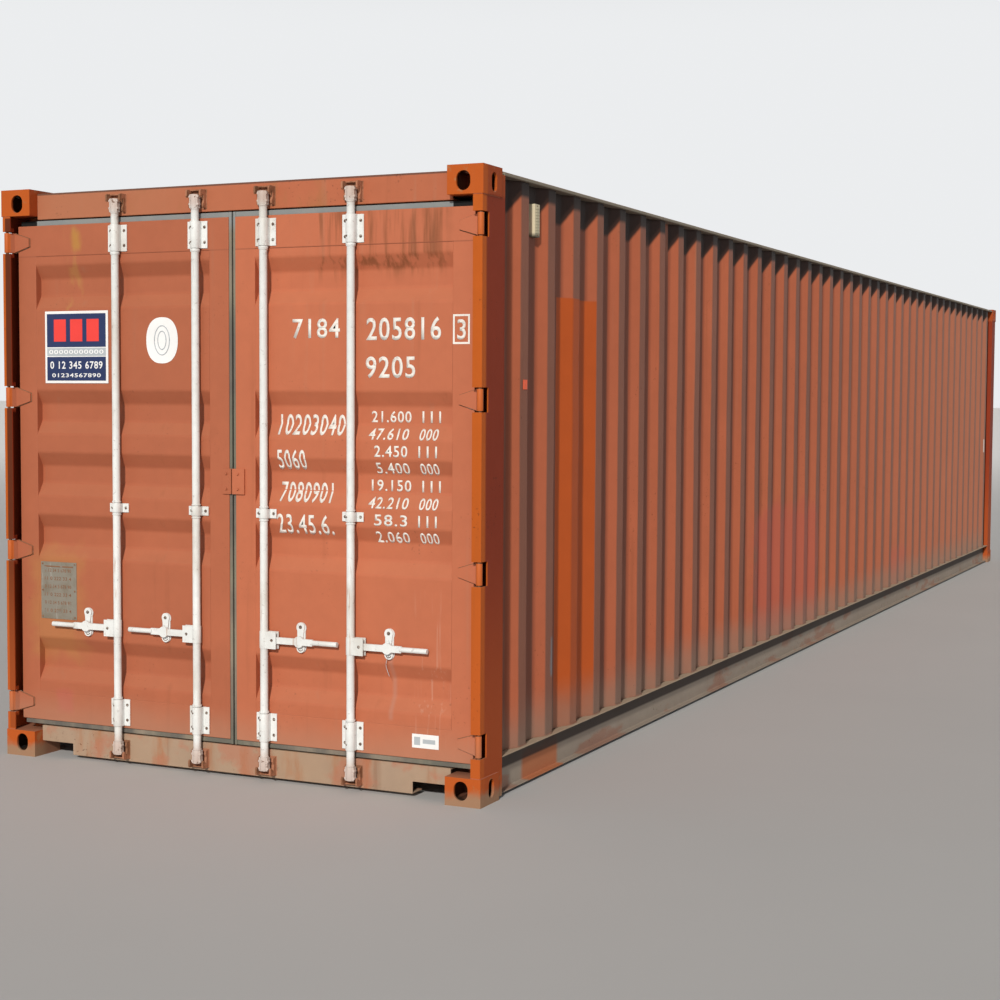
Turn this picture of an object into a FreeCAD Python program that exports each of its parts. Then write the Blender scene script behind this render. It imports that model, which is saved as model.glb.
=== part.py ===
"""Forty-foot dry freight container with two hinged doors at one end.

Millimetres.  X runs across, Y along (the doors are at the low end), Z up.
The origin is on the ground, under the middle of the container.
"""
import FreeCAD, Part
import os
import re
import sys

from FreeCAD import Vector
import Sketcher

DOC = FreeCAD.newDocument("FreightContainer")
SHEET = DOC.addObject("Spreadsheet::Sheet", "Sizes")

# Driving dimensions.  Depths called ..._in are measured in from the door end plane.
SIZES = {
    # the whole
    "full_length": 12192, "full_width": 2438, "full_height": 2591,
    # how far a cutting tool runs past the face it cuts
    "past": 2,
    # corner castings
    "casting_across": 162, "casting_along": 178, "casting_tall": 118,
    "casting_wall": 14, "casting_face": 24,
    "top_slot_long": 124, "top_slot_wide": 63.5, "top_slot_in_x": 89.5, "top_slot_in_y": 103.5,
    "end_slot_wide": 63.5, "side_slot_wide": 51, "wall_slot_tall": 79.5, "wall_slot_from_face": 63.8,
    # frame members
    "post_face": 1215, "post_edge": 1172, "post_front_in": 3, "post_depth": 214, "post_plate": 6,
    "jamb_face": 1110, "jamb_edge": 1150, "jamb_in": 118, "plate": 6,
    "rail_face": 1213, "rail_bottom": 12, "rail_top": 174, "rail_web": 1165, "rail_steel": 5,
    "rail_lower_flange": 38, "rail_end_in": 214,
    "top_rail_under": 2566, "top_rail_over": 2580, "top_rail_inner": 1140,
    "top_rail_web": 1151, "top_rail_web_low": 2500,
    "cross_face_in": 53, "header_low": 2458, "header_top": 2575, "header_stop_low": 2400,
    "sill_low": 16, "sill_top": 140, "sill_stop_top": 172, "cross_depth_in": 140,
    "sill_gap_inner": 880, "sill_gap_top": 68,
    "far_post_in": 6, "far_post_return": 40, "far_member_in": 6, "far_member_depth": 60,
    # corrugated sheets
    "sheet_steel": 2, "wall_face": 1197, "wall_rib_deep": 36, "wall_flat": 76, "wall_slope": 68,
    "wall_valley": 72, "wall_rib_count": 41, "wall_first_valley": 135,
    "end_face_in": 8, "end_rib_deep": 44, "end_flat": 110, "end_slope": 18, "end_valley": 104,
    "end_rib_count": 8,
    "roof_top": 2585, "roof_rib_deep": 18, "roof_flat": 91, "roof_slope": 14, "roof_valley": 90,
    "roof_rib_count": 57, "roof_half": 1135, "roof_lip": 1205,
    # under the floor
    "floor_low": 139, "floor_top": 167, "floor_half": 1157,
    "beam_low": 17, "beam_flange": 45, "beam_steel": 4, "beam_step": 400,
    "first_beam_in": 346, "whole_beam_count": 22, "short_beam_count": 8,
    "tunnel_half": 515, "tunnel_tall": 132, "tunnel_top": 138, "tunnel_length": 3150,
    "threshold_half": 1108,
    # doors
    "door_gap_half": 17, "door_outer": 1162, "door_low": 168, "door_high": 2430,
    "door_face_in": 46, "door_thick": 50, "stile_wide": 100,
    "door_rail_top": 140, "door_rail_low": 132,
    "door_rib_pitch": 283, "door_rib_top": 2152, "door_rib_deep": 36, "door_valley": 76,
    "door_slope": 62,
    "seal_lip": 22, "seal_thick": 14, "seal_wide": 40, "lip_half_gap": 4, "seal_half_gap": 9,
    "lip_in": 8, "edge_lip_in": 4, "edge_lip_deep": 12, "seal_inset": 12,
    # hinges
    "pin_x": 1201, "pin_in": 17, "pin_radius": 7, "pin_clearance": 0.4, "knuckle_radius": 13,
    "knuckle_half": 44, "notch_half": 50, "notch_in": 64, "lug_tall": 18,
    "first_hinge": 249, "hinge_step": 702, "leaf_reach": 106, "leaf_thick": 9, "leaf_tip_half": 18,
    "leaf_root": 20, "web_reach": 26, "web_lean": 2,
    # locking bars
    "bar_inner": 174, "bar_outer": 601, "bar_in": 23, "bar_radius": 17, "bar_low": 52,
    "bar_high": 2530, "cam_tall": 58, "cam_half_x": 21, "cam_half_y": 11, "cam_radius": 20,
    "collar_radius": 21, "collar_tall": 8, "collar_space": 3,
    "saddle_radius": 21.5, "saddle_bore": 18, "bracket_half": 51, "bracket_steel": 5,
    "top_bracket_low": 2300, "top_bracket_high": 2417, "mid_bracket_low": 1142,
    "mid_bracket_high": 1182, "low_bracket_low": 180, "low_bracket_high": 300,
    "keeper_inner": 31, "keeper_outer": 40, "keeper_front_in": 8, "keeper_tall": 66,
    "keeper_bridge": 10, "keeper_space": 6,
    # handles
    "handle_level": 621, "hub_half": 37, "hub_radius": 19.5, "cheek_reach": 66, "cheek_steel": 5,
    "cheek_half_gap": 9, "handle_pin_out": 46, "handle_pin_radius": 6, "handle_pin_sunk": 1,
    "handle_steel": 12, "eye_radius": 16, "bar_depth": 28, "boss_half": 24, "grip_start": 236, "grip_sunk": 6,
    "grip_radius": 11, "handle_tip": 362, "catch_out": 175, "catch_pivot": 62, "catch_reach": 90,
    "catch_radius": 20, "catch_front_in": 34, "catch_steel": 5, "rest_steel": 5, "rest_half": 24,
    "rivet_radius": 7,
    # plates
    "overlap_low": 1240, "overlap_high": 1350, "overlap_right": 65, "overlap_left": 48,
    "overlap_half_slit": 3, "overlap_front_in": 36, "overlap_back_in": 38, "overlap_steel": 8,
    "data_left": 1048, "data_right": 846, "data_low": 640, "data_high": 902,
    # ventilators
    "vent_low": 2350, "vent_high": 2490, "vent_back": 64, "vent_front": 50, "vent_deep": 28,
}
WORDS = re.compile(r"\b(" + "|".join(sorted(SIZES, key=len, reverse=True)) + r")\b")
ORIGIN = Vector(0, 0, 0)


def fill_sheet():
    """Write every driving dimension into the sheet, with its name as the alias."""
    for row, (name, value) in enumerate(SIZES.items(), 1):
        SHEET.set(f"A{row}", name)
        SHEET.set(f"B{row}", str(value))
        SHEET.setAlias(f"B{row}", name)
    DOC.recompute()


def size(name):
    """Read one driving dimension back from the sheet."""
    return float(SHEET.get(name))


def bound(text):
    """Turn a formula written with plain names into one that reads the sheet."""
    text = str(text).replace("DOOR_END", "(-full_length / 2)").replace("FAR_END", "(full_length / 2)")
    return WORDS.sub(r"Sizes.\1", text)


def inward(name):
    """Formula for the Y of something measured in from the door end plane."""
    return f"(DOOR_END + {name})"


def bind(thing, **formulas):
    """Bind properties of an object to formulas; place_x, place_y and place_z move it."""
    for prop, text in formulas.items():
        path = prop.replace("place_", ".Placement.Base.")
        thing.setExpression(path, bound(text))


def box(x_span, y_span, z_span):
    """A block between two formulas on each axis."""
    block = DOC.addObject("Part::Box", "Block")
    bind(block,
         Length=f"({x_span[1]}) - ({x_span[0]})",
         Width=f"({y_span[1]}) - ({y_span[0]})",
         Height=f"({z_span[1]}) - ({z_span[0]})",
         place_x=x_span[0], place_y=y_span[0], place_z=z_span[0])
    return block


def rod(axis, radius, start, end, first, second):
    """A round bar along X, Y or Z between two formulas; first and second place its axis."""
    bar = DOC.addObject("Part::Cylinder", "Round")
    turn = {"X": (Vector(0, 1, 0), 90), "Y": (Vector(1, 0, 0), -90), "Z": (Vector(0, 0, 1), 0)}[axis]
    bar.Placement = FreeCAD.Placement(ORIGIN, FreeCAD.Rotation(*turn))
    places = {"X": (start, first, second), "Y": (first, start, second), "Z": (first, second, start)}[axis]
    bind(bar, Radius=radius, Height=f"({end}) - ({start})",
         place_x=places[0], place_y=places[1], place_z=places[2])
    return bar


def joined(things, label=None):
    """One object made of several, fused where they touch."""
    fused = DOC.addObject("Part::MultiFuse", "Joined")
    fused.Shapes = things
    fused.Refine = True
    if label:
        fused.Label = label
    return fused


def without(base, tools, label=None):
    """A base with tools cut away."""
    cut = DOC.addObject("Part::Cut", "Trimmed")
    cut.Base = base
    cut.Tool = tools[0] if len(tools) == 1 else joined(tools)
    if label:
        cut.Label = label
    return cut


def mirrored(source, label=None, normal=(1, 0, 0), level=None):
    """The same object seen in a mirror through the middle, or through a level."""
    copy = DOC.addObject("Part::Mirroring", "Mirrored")
    copy.Source = source
    copy.Normal = Vector(*normal)
    if level:
        copy.setExpression("Base.z", bound(level))
    if label:
        copy.Label = label
    return copy


def origin_plane(body, role):
    """One of a body's own base planes."""
    return next(plane for plane in body.Origin.OriginFeatures if plane.Role == role)


def section_bar(points, plane, start, length, label=None):
    """A PartDesign body: a closed outline of (across, up) formulas, padded along the plane's normal."""
    body = DOC.addObject("PartDesign::Body", "Section")
    sketch = body.newObject("Sketcher::SketchObject", "Outline")
    sketch.AttachmentSupport = (origin_plane(body, plane), [""])
    sketch.MapMode = "FlatFace"
    DOC.recompute()
    values = [tuple(evaluate(formula) for formula in point) for point in points]
    count = len(values)
    for index in range(count):
        here = Vector(*values[index], 0)
        there = Vector(*values[(index + 1) % count], 0)
        sketch.addGeometry(Part.LineSegment(here, there), False)
    for index in range(count):
        after = (index + 1) % count
        sketch.addConstraint(Sketcher.Constraint("Coincident", index, 2, after, 1))
    for index, point in enumerate(points):
        for kind, formula, value in zip(("DistanceX", "DistanceY"), point, values[index]):
            number = sketch.addConstraint(Sketcher.Constraint(kind, -1, 1, index, 1, value))
            sketch.setExpression(f"Constraints[{number}]", bound(formula))
    pad = body.newObject("PartDesign::Pad", "Pad")
    pad.Profile = sketch
    pad.setExpression("Length", bound(length))
    if plane == "XZ_Plane":
        pad.Reversed = True
    axis = {"XZ_Plane": "place_y", "YZ_Plane": "place_x", "XY_Plane": "place_z"}[plane]
    bind(body, **{axis: start})
    if label:
        body.Label = label
    return body


def evaluate(formula):
    """The value of a formula of plain names, in millimetres."""
    cell_free = str(formula).replace("DOOR_END", "(-full_length / 2)")
    cell_free = cell_free.replace("FAR_END", "(full_length / 2)")
    return float(SHEET.evalExpression(bound(cell_free)))


def sheet_metal(outline, thickness, length, axis, label=None):
    """A folded sheet: an open outline offset to one side by the thickness, drawn out along an axis.

    The outline's points are (along, depth) pairs; the sheet lies on the lower-depth side of it.
    """
    back = [(along, depth - thickness) for along, depth in reversed(outline)]
    lift = {"Z": lambda a, d: Vector(d, a, 0), "X": lambda a, d: Vector(0, a, d),
            "DOOR": lambda a, d: Vector(0, -d, a), "END": lambda a, d: Vector(a, d, 0)}[axis]
    corners = [lift(*point) for point in outline + back]
    face = Part.Face(Part.makePolygon(corners + corners[:1]))
    run = {"Z": Vector(0, 0, length), "X": Vector(length, 0, 0), "DOOR": Vector(length, 0, 0),
           "END": Vector(0, 0, length)}[axis]
    sheet = DOC.addObject("Part::Feature", "Sheet")
    sheet.Shape = face.extrude(run)
    if label:
        sheet.Label = label
    return sheet


def ribs(start, first_valley, slope, flat, valley, count, end, valley_depth, face_depth):
    """Outline of a corrugated sheet: valleys at one depth and flats at another."""
    points = [(start, valley_depth)]
    place = start + first_valley
    for _ in range(count):
        points.append((place, valley_depth))
        points.append((place + slope, face_depth))
        points.append((place + slope + flat, face_depth))
        points.append((place + slope + flat + slope, valley_depth))
        place += slope + flat + slope + valley
    points.append((end, valley_depth))
    return points


# ---------------------------------------------------------------- frame

def corner_castings():
    """Hollow corner castings with oblong apertures in their three outer faces."""
    x_span = ("full_width / 2 - casting_across", "full_width / 2")
    y_span = ("DOOR_END", inward("casting_along"))
    block = box(x_span, y_span, ("full_height - casting_tall", "full_height"))
    hollow = box((f"{x_span[0]} + casting_wall", "full_width / 2 - casting_wall"),
                 (inward("casting_wall"), inward("(casting_along - casting_wall)")),
                 ("full_height - casting_tall + casting_wall", "full_height - casting_face"))
    slot_x, slot_y = "(full_width / 2 - top_slot_in_x)", inward("top_slot_in_y")
    level = "(full_height - wall_slot_from_face)"
    roundness = "(top_slot_long - top_slot_wide) / 2"
    z_through = ("full_height - casting_face - past", "full_height + past")
    tools = [hollow]
    tools.append(box((f"{slot_x} - top_slot_wide / 2", f"{slot_x} + top_slot_wide / 2"),
                     (f"{slot_y} - {roundness}", f"{slot_y} + {roundness}"), z_through))
    for sign in "-+":
        tools.append(rod("Z", "top_slot_wide / 2", *z_through, slot_x, f"{slot_y} {sign} {roundness}"))
    end_span = ("DOOR_END - past", inward("casting_wall + past"))
    tools += wall_slot("Y", "end_slot_wide", end_span, slot_x, level)
    side_span = ("full_width / 2 - casting_wall - past", "full_width / 2 + past")
    tools += wall_slot("X", "side_slot_wide", side_span, slot_y, level)
    upper_right = without(block, tools)
    lower_right = mirrored(upper_right, normal=(0, 0, 1), level="full_height / 2")
    rights = joined([upper_right, lower_right])
    door_end = joined([rights, mirrored(rights)], "door_end_castings")
    mirrored(door_end, "closed_end_castings", normal=(0, 1, 0))


def wall_slot(axis, wide, span, across, level):
    """The tools for an upright oblong aperture through a side or end face of a casting."""
    rise = f"(wall_slot_tall - {wide}) / 2"
    beside = (f"{across} - {wide} / 2", f"{across} + {wide} / 2")
    z_span = (f"{level} - {rise}", f"{level} + {rise}")
    middle = box(beside, span, z_span) if axis == "Y" else box(span, beside, z_span)
    return [middle] + [rod(axis, f"{wide} / 2", *span, across, f"{level} {sign} {rise}") for sign in "-+"]


def hinge_levels():
    """Formulas for the heights of one door's hinges."""
    return [f"(first_hinge + hinge_step * {number})" for number in range(4)]


def door_posts():
    """Folded posts beside the doors, notched for the hinges, with lugs above and below each notch."""
    jamb_back = "(jamb_in + plate)"
    depth, inside = "post_depth", "(post_depth - post_plate)"
    outline = [("post_edge", "post_front_in"), ("post_face", "post_front_in"), ("post_face", depth),
               ("jamb_face", depth), ("jamb_face", "jamb_in"), ("jamb_edge", "jamb_in"),
               ("jamb_edge", jamb_back), ("jamb_face + plate", jamb_back), ("jamb_face + plate", inside),
               ("post_face - post_plate", inside), ("post_face - post_plate", "post_front_in + post_plate"),
               ("post_edge", "post_front_in + post_plate")]
    post = section_bar([(x, inward(depth_in)) for x, depth_in in outline], "XY_Plane",
                       "casting_tall", "full_height - 2 * casting_tall")
    strip = box(("post_face - post_plate", "post_face"), (inward("casting_along"), inward("post_depth")),
                ("rail_bottom", "top_rail_under"))
    notches = []
    lugs = []
    for level in hinge_levels():
        notches.append(box(("post_edge - past", "post_face + past"), (inward("0"), inward("notch_in")),
                           (f"{level} - notch_half", f"{level} + notch_half")))
        for low, high in (("notch_half", "notch_half + lug_tall"), ("-notch_half - lug_tall", "-notch_half")):
            lugs.append(box(("post_edge + post_plate", "post_face - post_plate"),
                            (inward("post_front_in + post_plate"),
                             inward("pin_in + knuckle_radius + post_plate")),
                            (f"{level} + {low}", f"{level} + {high}")))
    bores = [rod("Z", "pin_radius + pin_clearance", "casting_tall", "full_height - casting_tall",
                 "pin_x", inward("pin_in"))]
    pierced = [without(lug, bores) for lug in lugs]
    right = joined([without(joined([post, strip]), notches)] + pierced)
    joined([right, mirrored(right)], "door_posts")


def hinge_pins():
    """Upright pins that the door hinges turn on."""
    reach = "(notch_half + lug_tall)"
    pins = [rod("Z", "pin_radius", f"{level} - {reach}", f"{level} + {reach}", "pin_x", inward("pin_in"))
            for level in hinge_levels()]
    right = joined(pins)
    joined([right, mirrored(right)], "hinge_pins")


def closed_end_posts():
    """Folded corner posts at the closed end."""
    far = "(FAR_END - far_post_in)"
    along = "(FAR_END - casting_along)"
    inner = "(full_width / 2 - casting_across)"
    outline = [(inner, far), ("post_face", far), ("post_face", along), ("post_face - far_post_return", along),
               ("post_face - far_post_return", f"{along} + plate"), ("post_face - plate", f"{along} + plate"),
               ("post_face - plate", f"{far} - plate"), (f"{inner} + plate", f"{far} - plate"),
               (f"{inner} + plate", f"{far} - far_post_return"), (inner, f"{far} - far_post_return")]
    right = section_bar(outline, "XY_Plane", "casting_tall", "full_height - 2 * casting_tall")
    joined([right, mirrored(right)], "closed_end_posts")


def side_rails():
    """Bottom rails, channels open outward, and top rails with an overhanging flange."""
    run = "full_length - rail_end_in - casting_along"
    start = inward("rail_end_in")
    web = "(rail_web + rail_steel)"
    lower = [("rail_web", "rail_bottom"), ("rail_web + rail_lower_flange", "rail_bottom"),
             ("rail_web + rail_lower_flange", "rail_bottom + rail_steel"),
             (web, "rail_bottom + rail_steel"), (web, "rail_top - rail_steel"),
             ("rail_face", "rail_top - rail_steel"), ("rail_face", "rail_top"), ("rail_web", "rail_top")]
    bottom = section_bar(lower, "XZ_Plane", start, run)
    joined([bottom, mirrored(bottom)], "bottom_side_rails")
    inner = "(top_rail_web + plate)"
    upper = [("top_rail_inner", "top_rail_under"), ("top_rail_web", "top_rail_under"),
             ("top_rail_web", "top_rail_web_low"), (inner, "top_rail_web_low"), (inner, "top_rail_under"),
             ("rail_face", "top_rail_under"), ("rail_face", "top_rail_over"),
             ("top_rail_inner", "top_rail_over")]
    top = section_bar(upper, "XZ_Plane", start, run)
    joined([top, mirrored(top)], "top_side_rails")


def door_end_members():
    """Header over the doors and sill under them, each folded with a stop for the seals."""
    half = "(full_width / 2 - casting_across)"
    face, back, stop = "cross_face_in", "cross_depth_in", "jamb_in"
    header = [(face, "header_low"), (stop, "header_low"), (stop, "header_stop_low"),
              (f"{stop} + plate", "header_stop_low"), (f"{stop} + plate", "header_low"),
              (back, "header_low"), (back, "header_low + plate"), (f"{face} + plate", "header_low + plate"),
              (f"{face} + plate", "header_top - plate"), (back, "header_top - plate"),
              (back, "header_top"), (face, "header_top")]
    section_bar([(inward(y), z) for y, z in header], "YZ_Plane", f"-{half}", f"2 * {half}", "door_header")
    sill = [(face, "sill_low"), (back, "sill_low"), (back, "sill_low + plate"),
            (f"{face} + plate", "sill_low + plate"), (f"{face} + plate", "sill_top - plate"),
            (f"{stop} + plate", "sill_top - plate"), (f"{stop} + plate", "sill_stop_top"),
            (stop, "sill_stop_top"), (stop, "sill_top"), (face, "sill_top")]
    bar = section_bar([(inward(y), z) for y, z in sill], "YZ_Plane", f"-{half}", f"2 * {half}")
    gap = box(("sill_gap_inner", f"{half} + past"),
              (inward("cross_face_in - past"), inward("cross_depth_in + past")),
              ("sill_low - past", "sill_gap_top"))
    without(bar, [gap, mirrored(gap)], "door_sill")


def closed_end_members():
    """Header and sill of the closed end; the sill is cut away over the tunnel."""
    half = "(full_width / 2 - casting_across)"
    face, back = "(FAR_END - far_member_in)", "(FAR_END - far_member_in - far_member_depth)"
    box((f"-{half}", half), (back, face), ("full_height - casting_tall", "header_top")).Label = \
        "closed_end_header"
    sill = box((f"-{half}", half), (back, face), ("sill_low", "rail_top"))
    mouth = box(("-tunnel_half", "tunnel_half"), (f"{back} - past", f"{face} + past"),
                ("sill_low - past", "tunnel_tall"))
    without(sill, [mouth], "closed_end_sill")


# ---------------------------------------------------------------- skin

def side_walls():
    """Corrugated side sheets with upright ribs, between the bottom and top rails."""
    face = size("wall_face")
    start = -size("full_length") / 2 + size("rail_end_in")
    end = size("full_length") / 2 - size("casting_along")
    outline = ribs(start, size("wall_first_valley"), size("wall_slope"), size("wall_flat"),
                   size("wall_valley"), int(size("wall_rib_count")), end,
                   face - size("wall_rib_deep"), face)
    right = sheet_metal(outline, size("sheet_steel"), size("top_rail_under") - size("rail_top"), "Z",
                        "side_wall_right")
    right.setExpression(".Placement.Base.z", bound("rail_top"))
    mirrored(right, "side_wall_left")


def closed_end_wall():
    """Corrugated sheet that closes the far end."""
    half = size("full_width") / 2 - size("casting_across")
    face = size("full_length") / 2 - size("end_face_in")
    used = size("end_rib_count") * (size("end_flat") + 2 * size("end_slope") + size("end_valley"))
    margin = (2 * half - used + size("end_valley")) / 2
    outline = ribs(-half, margin, size("end_slope"), size("end_flat"), size("end_valley"),
                   int(size("end_rib_count")), half, face - size("end_rib_deep"), face)
    wall = sheet_metal(outline, size("sheet_steel"),
                       size("full_height") - size("casting_tall") - size("rail_top"), "END",
                       "closed_end_wall")
    wall.setExpression(".Placement.Base.z", bound("rail_top"))


def roof_panel():
    """Roof sheet with ribs across it and a flat lip along each side."""
    half, top, deep = size("roof_half"), size("roof_top"), size("roof_rib_deep")
    start = -size("full_length") / 2 + size("cross_depth_in")
    end = size("full_length") / 2 - size("far_member_in") - size("far_member_depth")
    used = size("roof_rib_count") * (size("roof_flat") + 2 * size("roof_slope") + size("roof_valley"))
    margin = (end - start - used + size("roof_valley")) / 2
    outline = ribs(start, margin, size("roof_slope"), size("roof_flat"), size("roof_valley"),
                   int(size("roof_rib_count")), end, top - deep, top)
    ribbed = sheet_metal(outline, size("sheet_steel"), 2 * half, "X")
    ribbed.setExpression(".Placement.Base.x", bound("-roof_half"))
    y_span = (inward("cross_depth_in"), "FAR_END - far_member_in - far_member_depth")
    cheek = box(("roof_half - sheet_steel", "roof_half"), y_span,
                ("roof_top - roof_rib_deep - sheet_steel", "roof_top"))
    lip = box(("roof_half", "roof_lip"), y_span, ("top_rail_over", "top_rail_over + sheet_steel"))
    right = joined([cheek, lip])
    inner, outer = "(full_width / 2 - casting_across)", "(full_width / 2)"
    z_span = ("full_height - casting_tall", "full_height")
    corners = [box((inner, outer), (inward("0"), inward("casting_along")), z_span),
               box((inner, outer), ("FAR_END - casting_along", "FAR_END"), z_span)]
    corners += [mirrored(corner) for corner in corners]
    without(joined([ribbed, right, mirrored(right)]), corners, "roof_panel")


def underframe():
    """Cross members, the tunnel at the closed end, and the floor."""
    beams = [cross_member(number, "-rail_web", "2 * rail_web")
             for number in range(int(size("whole_beam_count")))]
    for number in range(int(size("short_beam_count"))):
        place = int(size("whole_beam_count")) + number
        short = cross_member(place, "tunnel_half + plate", "rail_web - tunnel_half - plate")
        beams += [short, mirrored(short)]
    joined(beams, "cross_members")
    start, end = "(FAR_END - tunnel_length)", "(FAR_END - far_member_in - far_member_depth)"
    outer, under = "(tunnel_half + plate)", "tunnel_top"
    arch = [(f"-{outer}", "beam_low"), ("-tunnel_half", "beam_low"), ("-tunnel_half", "tunnel_tall"),
            ("tunnel_half", "tunnel_tall"), ("tunnel_half", "beam_low"), (outer, "beam_low"),
            (outer, under), (f"-{outer}", under)]
    tunnel = section_bar(arch, "XZ_Plane", start, f"{end} - {start}")
    stop = box((f"-{outer}", outer), (f"{start} - plate", start), ("beam_low", under))
    joined([tunnel, stop], "gooseneck_tunnel")
    z_span = ("floor_low", "floor_top")
    floor = box(("-floor_half", "floor_half"), (inward("post_depth"), end), z_span)
    threshold = box(("-threshold_half", "threshold_half"),
                    (inward("jamb_in + plate"), inward("post_depth")), z_span)
    joined([floor, threshold], "floor_boards")


def cross_member(number, start, length):
    """One channel across the underside."""
    near = f"(DOOR_END + first_beam_in + beam_step * {number})"
    far, web = f"({near} + beam_flange)", f"({near} + beam_steel)"
    low, high = "beam_low", "floor_low"
    outline = [(near, low), (far, low), (far, f"{low} + beam_steel"), (web, f"{low} + beam_steel"),
               (web, f"{high} - beam_steel"), (far, f"{high} - beam_steel"), (far, high), (near, high)]
    return section_bar(outline, "YZ_Plane", start, length)


def ventilators():
    """A small vent hood in a wall valley near each of two opposite corners."""
    valley = inward("(rail_end_in + wall_first_valley + 2 * wall_slope + wall_flat + wall_valley / 2)")
    back, front = "(wall_face - wall_rib_deep)", "(wall_face - wall_rib_deep + vent_deep)"
    hood = [(back, f"{valley} - vent_back / 2"), (front, f"{valley} - vent_front / 2"),
            (front, f"{valley} + vent_front / 2"), (back, f"{valley} + vent_back / 2")]
    near = section_bar(hood, "XY_Plane", "vent_low", "vent_high - vent_low")
    across_wall = "(wall_flat + 2 * wall_slope + wall_valley) * (wall_rib_count - 2)"
    far_hood = [(x, f"{y} + {across_wall}") for x, y in hood]
    far = section_bar(far_hood, "XY_Plane", "vent_low", "vent_high - vent_low")
    joined([near, mirrored(far)], "ventilators")


# ---------------------------------------------------------------- doors

def both_doors(right, name):
    """Label a right-hand door piece and add its mirror image for the left-hand door."""
    right.Label = f"door_right_{name}"
    mirrored(right, f"door_left_{name}")


def door_frames():
    """Stiles and rails of each door."""
    y_span = (inward("door_face_in"), inward("(door_face_in + door_thick)"))
    z_span = ("door_low", "door_high")
    between = ("door_gap_half + stile_wide", "door_outer - stile_wide")
    pieces = [box(("door_gap_half", between[0]), y_span, z_span),
              box((between[1], "door_outer"), y_span, z_span),
              box(between, y_span, ("door_high - door_rail_top", "door_high")),
              box(between, y_span, ("door_low", "door_low + door_rail_low"))]
    both_doors(joined(pieces), "frame")


def door_panels():
    """Door sheets with level recesses; the second and sixth places of the row stay flat."""
    face = size("full_length") / 2 - size("door_face_in")
    deep, slope, valley = size("door_rib_deep"), size("door_slope"), size("door_valley")
    start = size("door_low") + size("door_rail_low")
    end = size("door_high") - size("door_rail_top")
    outline = [(start, face)]
    for place in (6, 4, 3, 2, 0):
        middle = size("door_rib_top") - size("door_rib_pitch") * place
        outline.append((middle - valley / 2 - slope, face))
        outline.append((middle - valley / 2, face - deep))
        outline.append((middle + valley / 2, face - deep))
        outline.append((middle + valley / 2 + slope, face))
    outline.append((end, face))
    wide = size("door_outer") - size("door_gap_half") - 2 * size("stile_wide")
    panel = sheet_metal(outline, size("sheet_steel"), wide, "DOOR")
    panel.setExpression(".Placement.Base.x", bound("door_gap_half + stile_wide"))
    both_doors(panel, "panel")


def door_seals():
    """Rubber seals: a lip over, under and between the doors, and a flat ring behind each."""
    lip = (inward("door_face_in + lip_in"), inward("(door_face_in + door_thick + seal_thick)"))
    ring = (inward("door_face_in + door_thick"), inward("(door_face_in + door_thick + seal_thick)"))
    z_span = ("door_low - seal_lip", "door_high + seal_lip")
    inner, outer = "seal_half_gap", "(door_outer - seal_inset)"
    edge_lip = inward("(door_face_in + edge_lip_in)")
    edge_back = inward("(door_face_in + edge_lip_in + edge_lip_deep)")
    pieces = [box((inner, outer), lip, ("door_high", z_span[1])),
              box((inner, outer), lip, (z_span[0], "door_low")),
              box((inner, "door_gap_half"), (edge_back, ring[1]), z_span),
              box(("lip_half_gap", "door_gap_half"), (edge_lip, edge_back), z_span),
              box((inner, f"{inner} + seal_wide"), ring, z_span),
              box((f"{outer} - seal_wide", outer), ring, z_span),
              box((inner, outer), ring, (f"{z_span[1]} - seal_wide", z_span[1])),
              box((inner, outer), ring, (z_span[0], f"{z_span[0]} + seal_wide"))]
    both_doors(joined(pieces), "seal")


def door_hinges():
    """Hinge leaves: a knuckle on the pin, a web, and a tapered blade on the face of the stile."""
    leaves = []
    front = "(door_face_in - leaf_thick)"
    for level in hinge_levels():
        low, high = f"({level} - knuckle_half)", f"({level} + knuckle_half)"
        knuckle = rod("Z", "knuckle_radius", low, high, "pin_x", inward("pin_in"))
        web = section_bar([("pin_x - knuckle_radius", inward("pin_in - web_lean")),
                           ("pin_x - web_reach", inward(front)),
                           ("pin_x - web_reach", inward("door_face_in")),
                           ("pin_x", inward("door_face_in")),
                           ("pin_x + knuckle_radius", inward("pin_in + web_lean"))],
                          "XY_Plane", low, "2 * knuckle_half")
        blade = section_bar([("pin_x - leaf_root", low), ("pin_x - leaf_root", high),
                             ("pin_x - leaf_reach", f"{level} + leaf_tip_half"),
                             ("pin_x - leaf_reach", f"{level} - leaf_tip_half")],
                            "XZ_Plane", inward(front), "leaf_thick")
        bore = rod("Z", "pin_radius + pin_clearance", f"{low} - past", f"{high} + past", "pin_x",
                   inward("pin_in"))
        leaves.append(without(joined([knuckle, web, blade]), [bore]))
    both_doors(joined(leaves), "hinges")


def bar_places():
    """Formulas for the X of the two locking bars on the right-hand door."""
    return ["bar_inner", "bar_outer"]


def bar_brackets():
    """Saddle brackets that hold the locking bars to the doors."""
    brackets = []
    for place in bar_places():
        for name in ("top", "mid", "low"):
            z_span = (f"{name}_bracket_low", f"{name}_bracket_high")
            flange = box((f"{place} - bracket_half", f"{place} + bracket_half"),
                         (inward("(door_face_in - bracket_steel)"), inward("door_face_in")), z_span)
            saddle = box((f"{place} - saddle_radius", f"{place} + saddle_radius"),
                         (inward("bar_in"), inward("door_face_in")), z_span)
            crown = rod("Z", "saddle_radius", *z_span, place, inward("bar_in"))
            through = (f"{z_span[0]} - past", f"{z_span[1]} + past")
            bore = rod("Z", "saddle_bore", *through, place, inward("bar_in"))
            throat = box((f"{place} - saddle_bore", f"{place} + saddle_bore"),
                         (inward("bar_in"), inward("(door_face_in + past)")), through)
            brackets.append(without(joined([flange, saddle, crown]), [bore, throat]))
    both_doors(joined(brackets), "bar_brackets")


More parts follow.
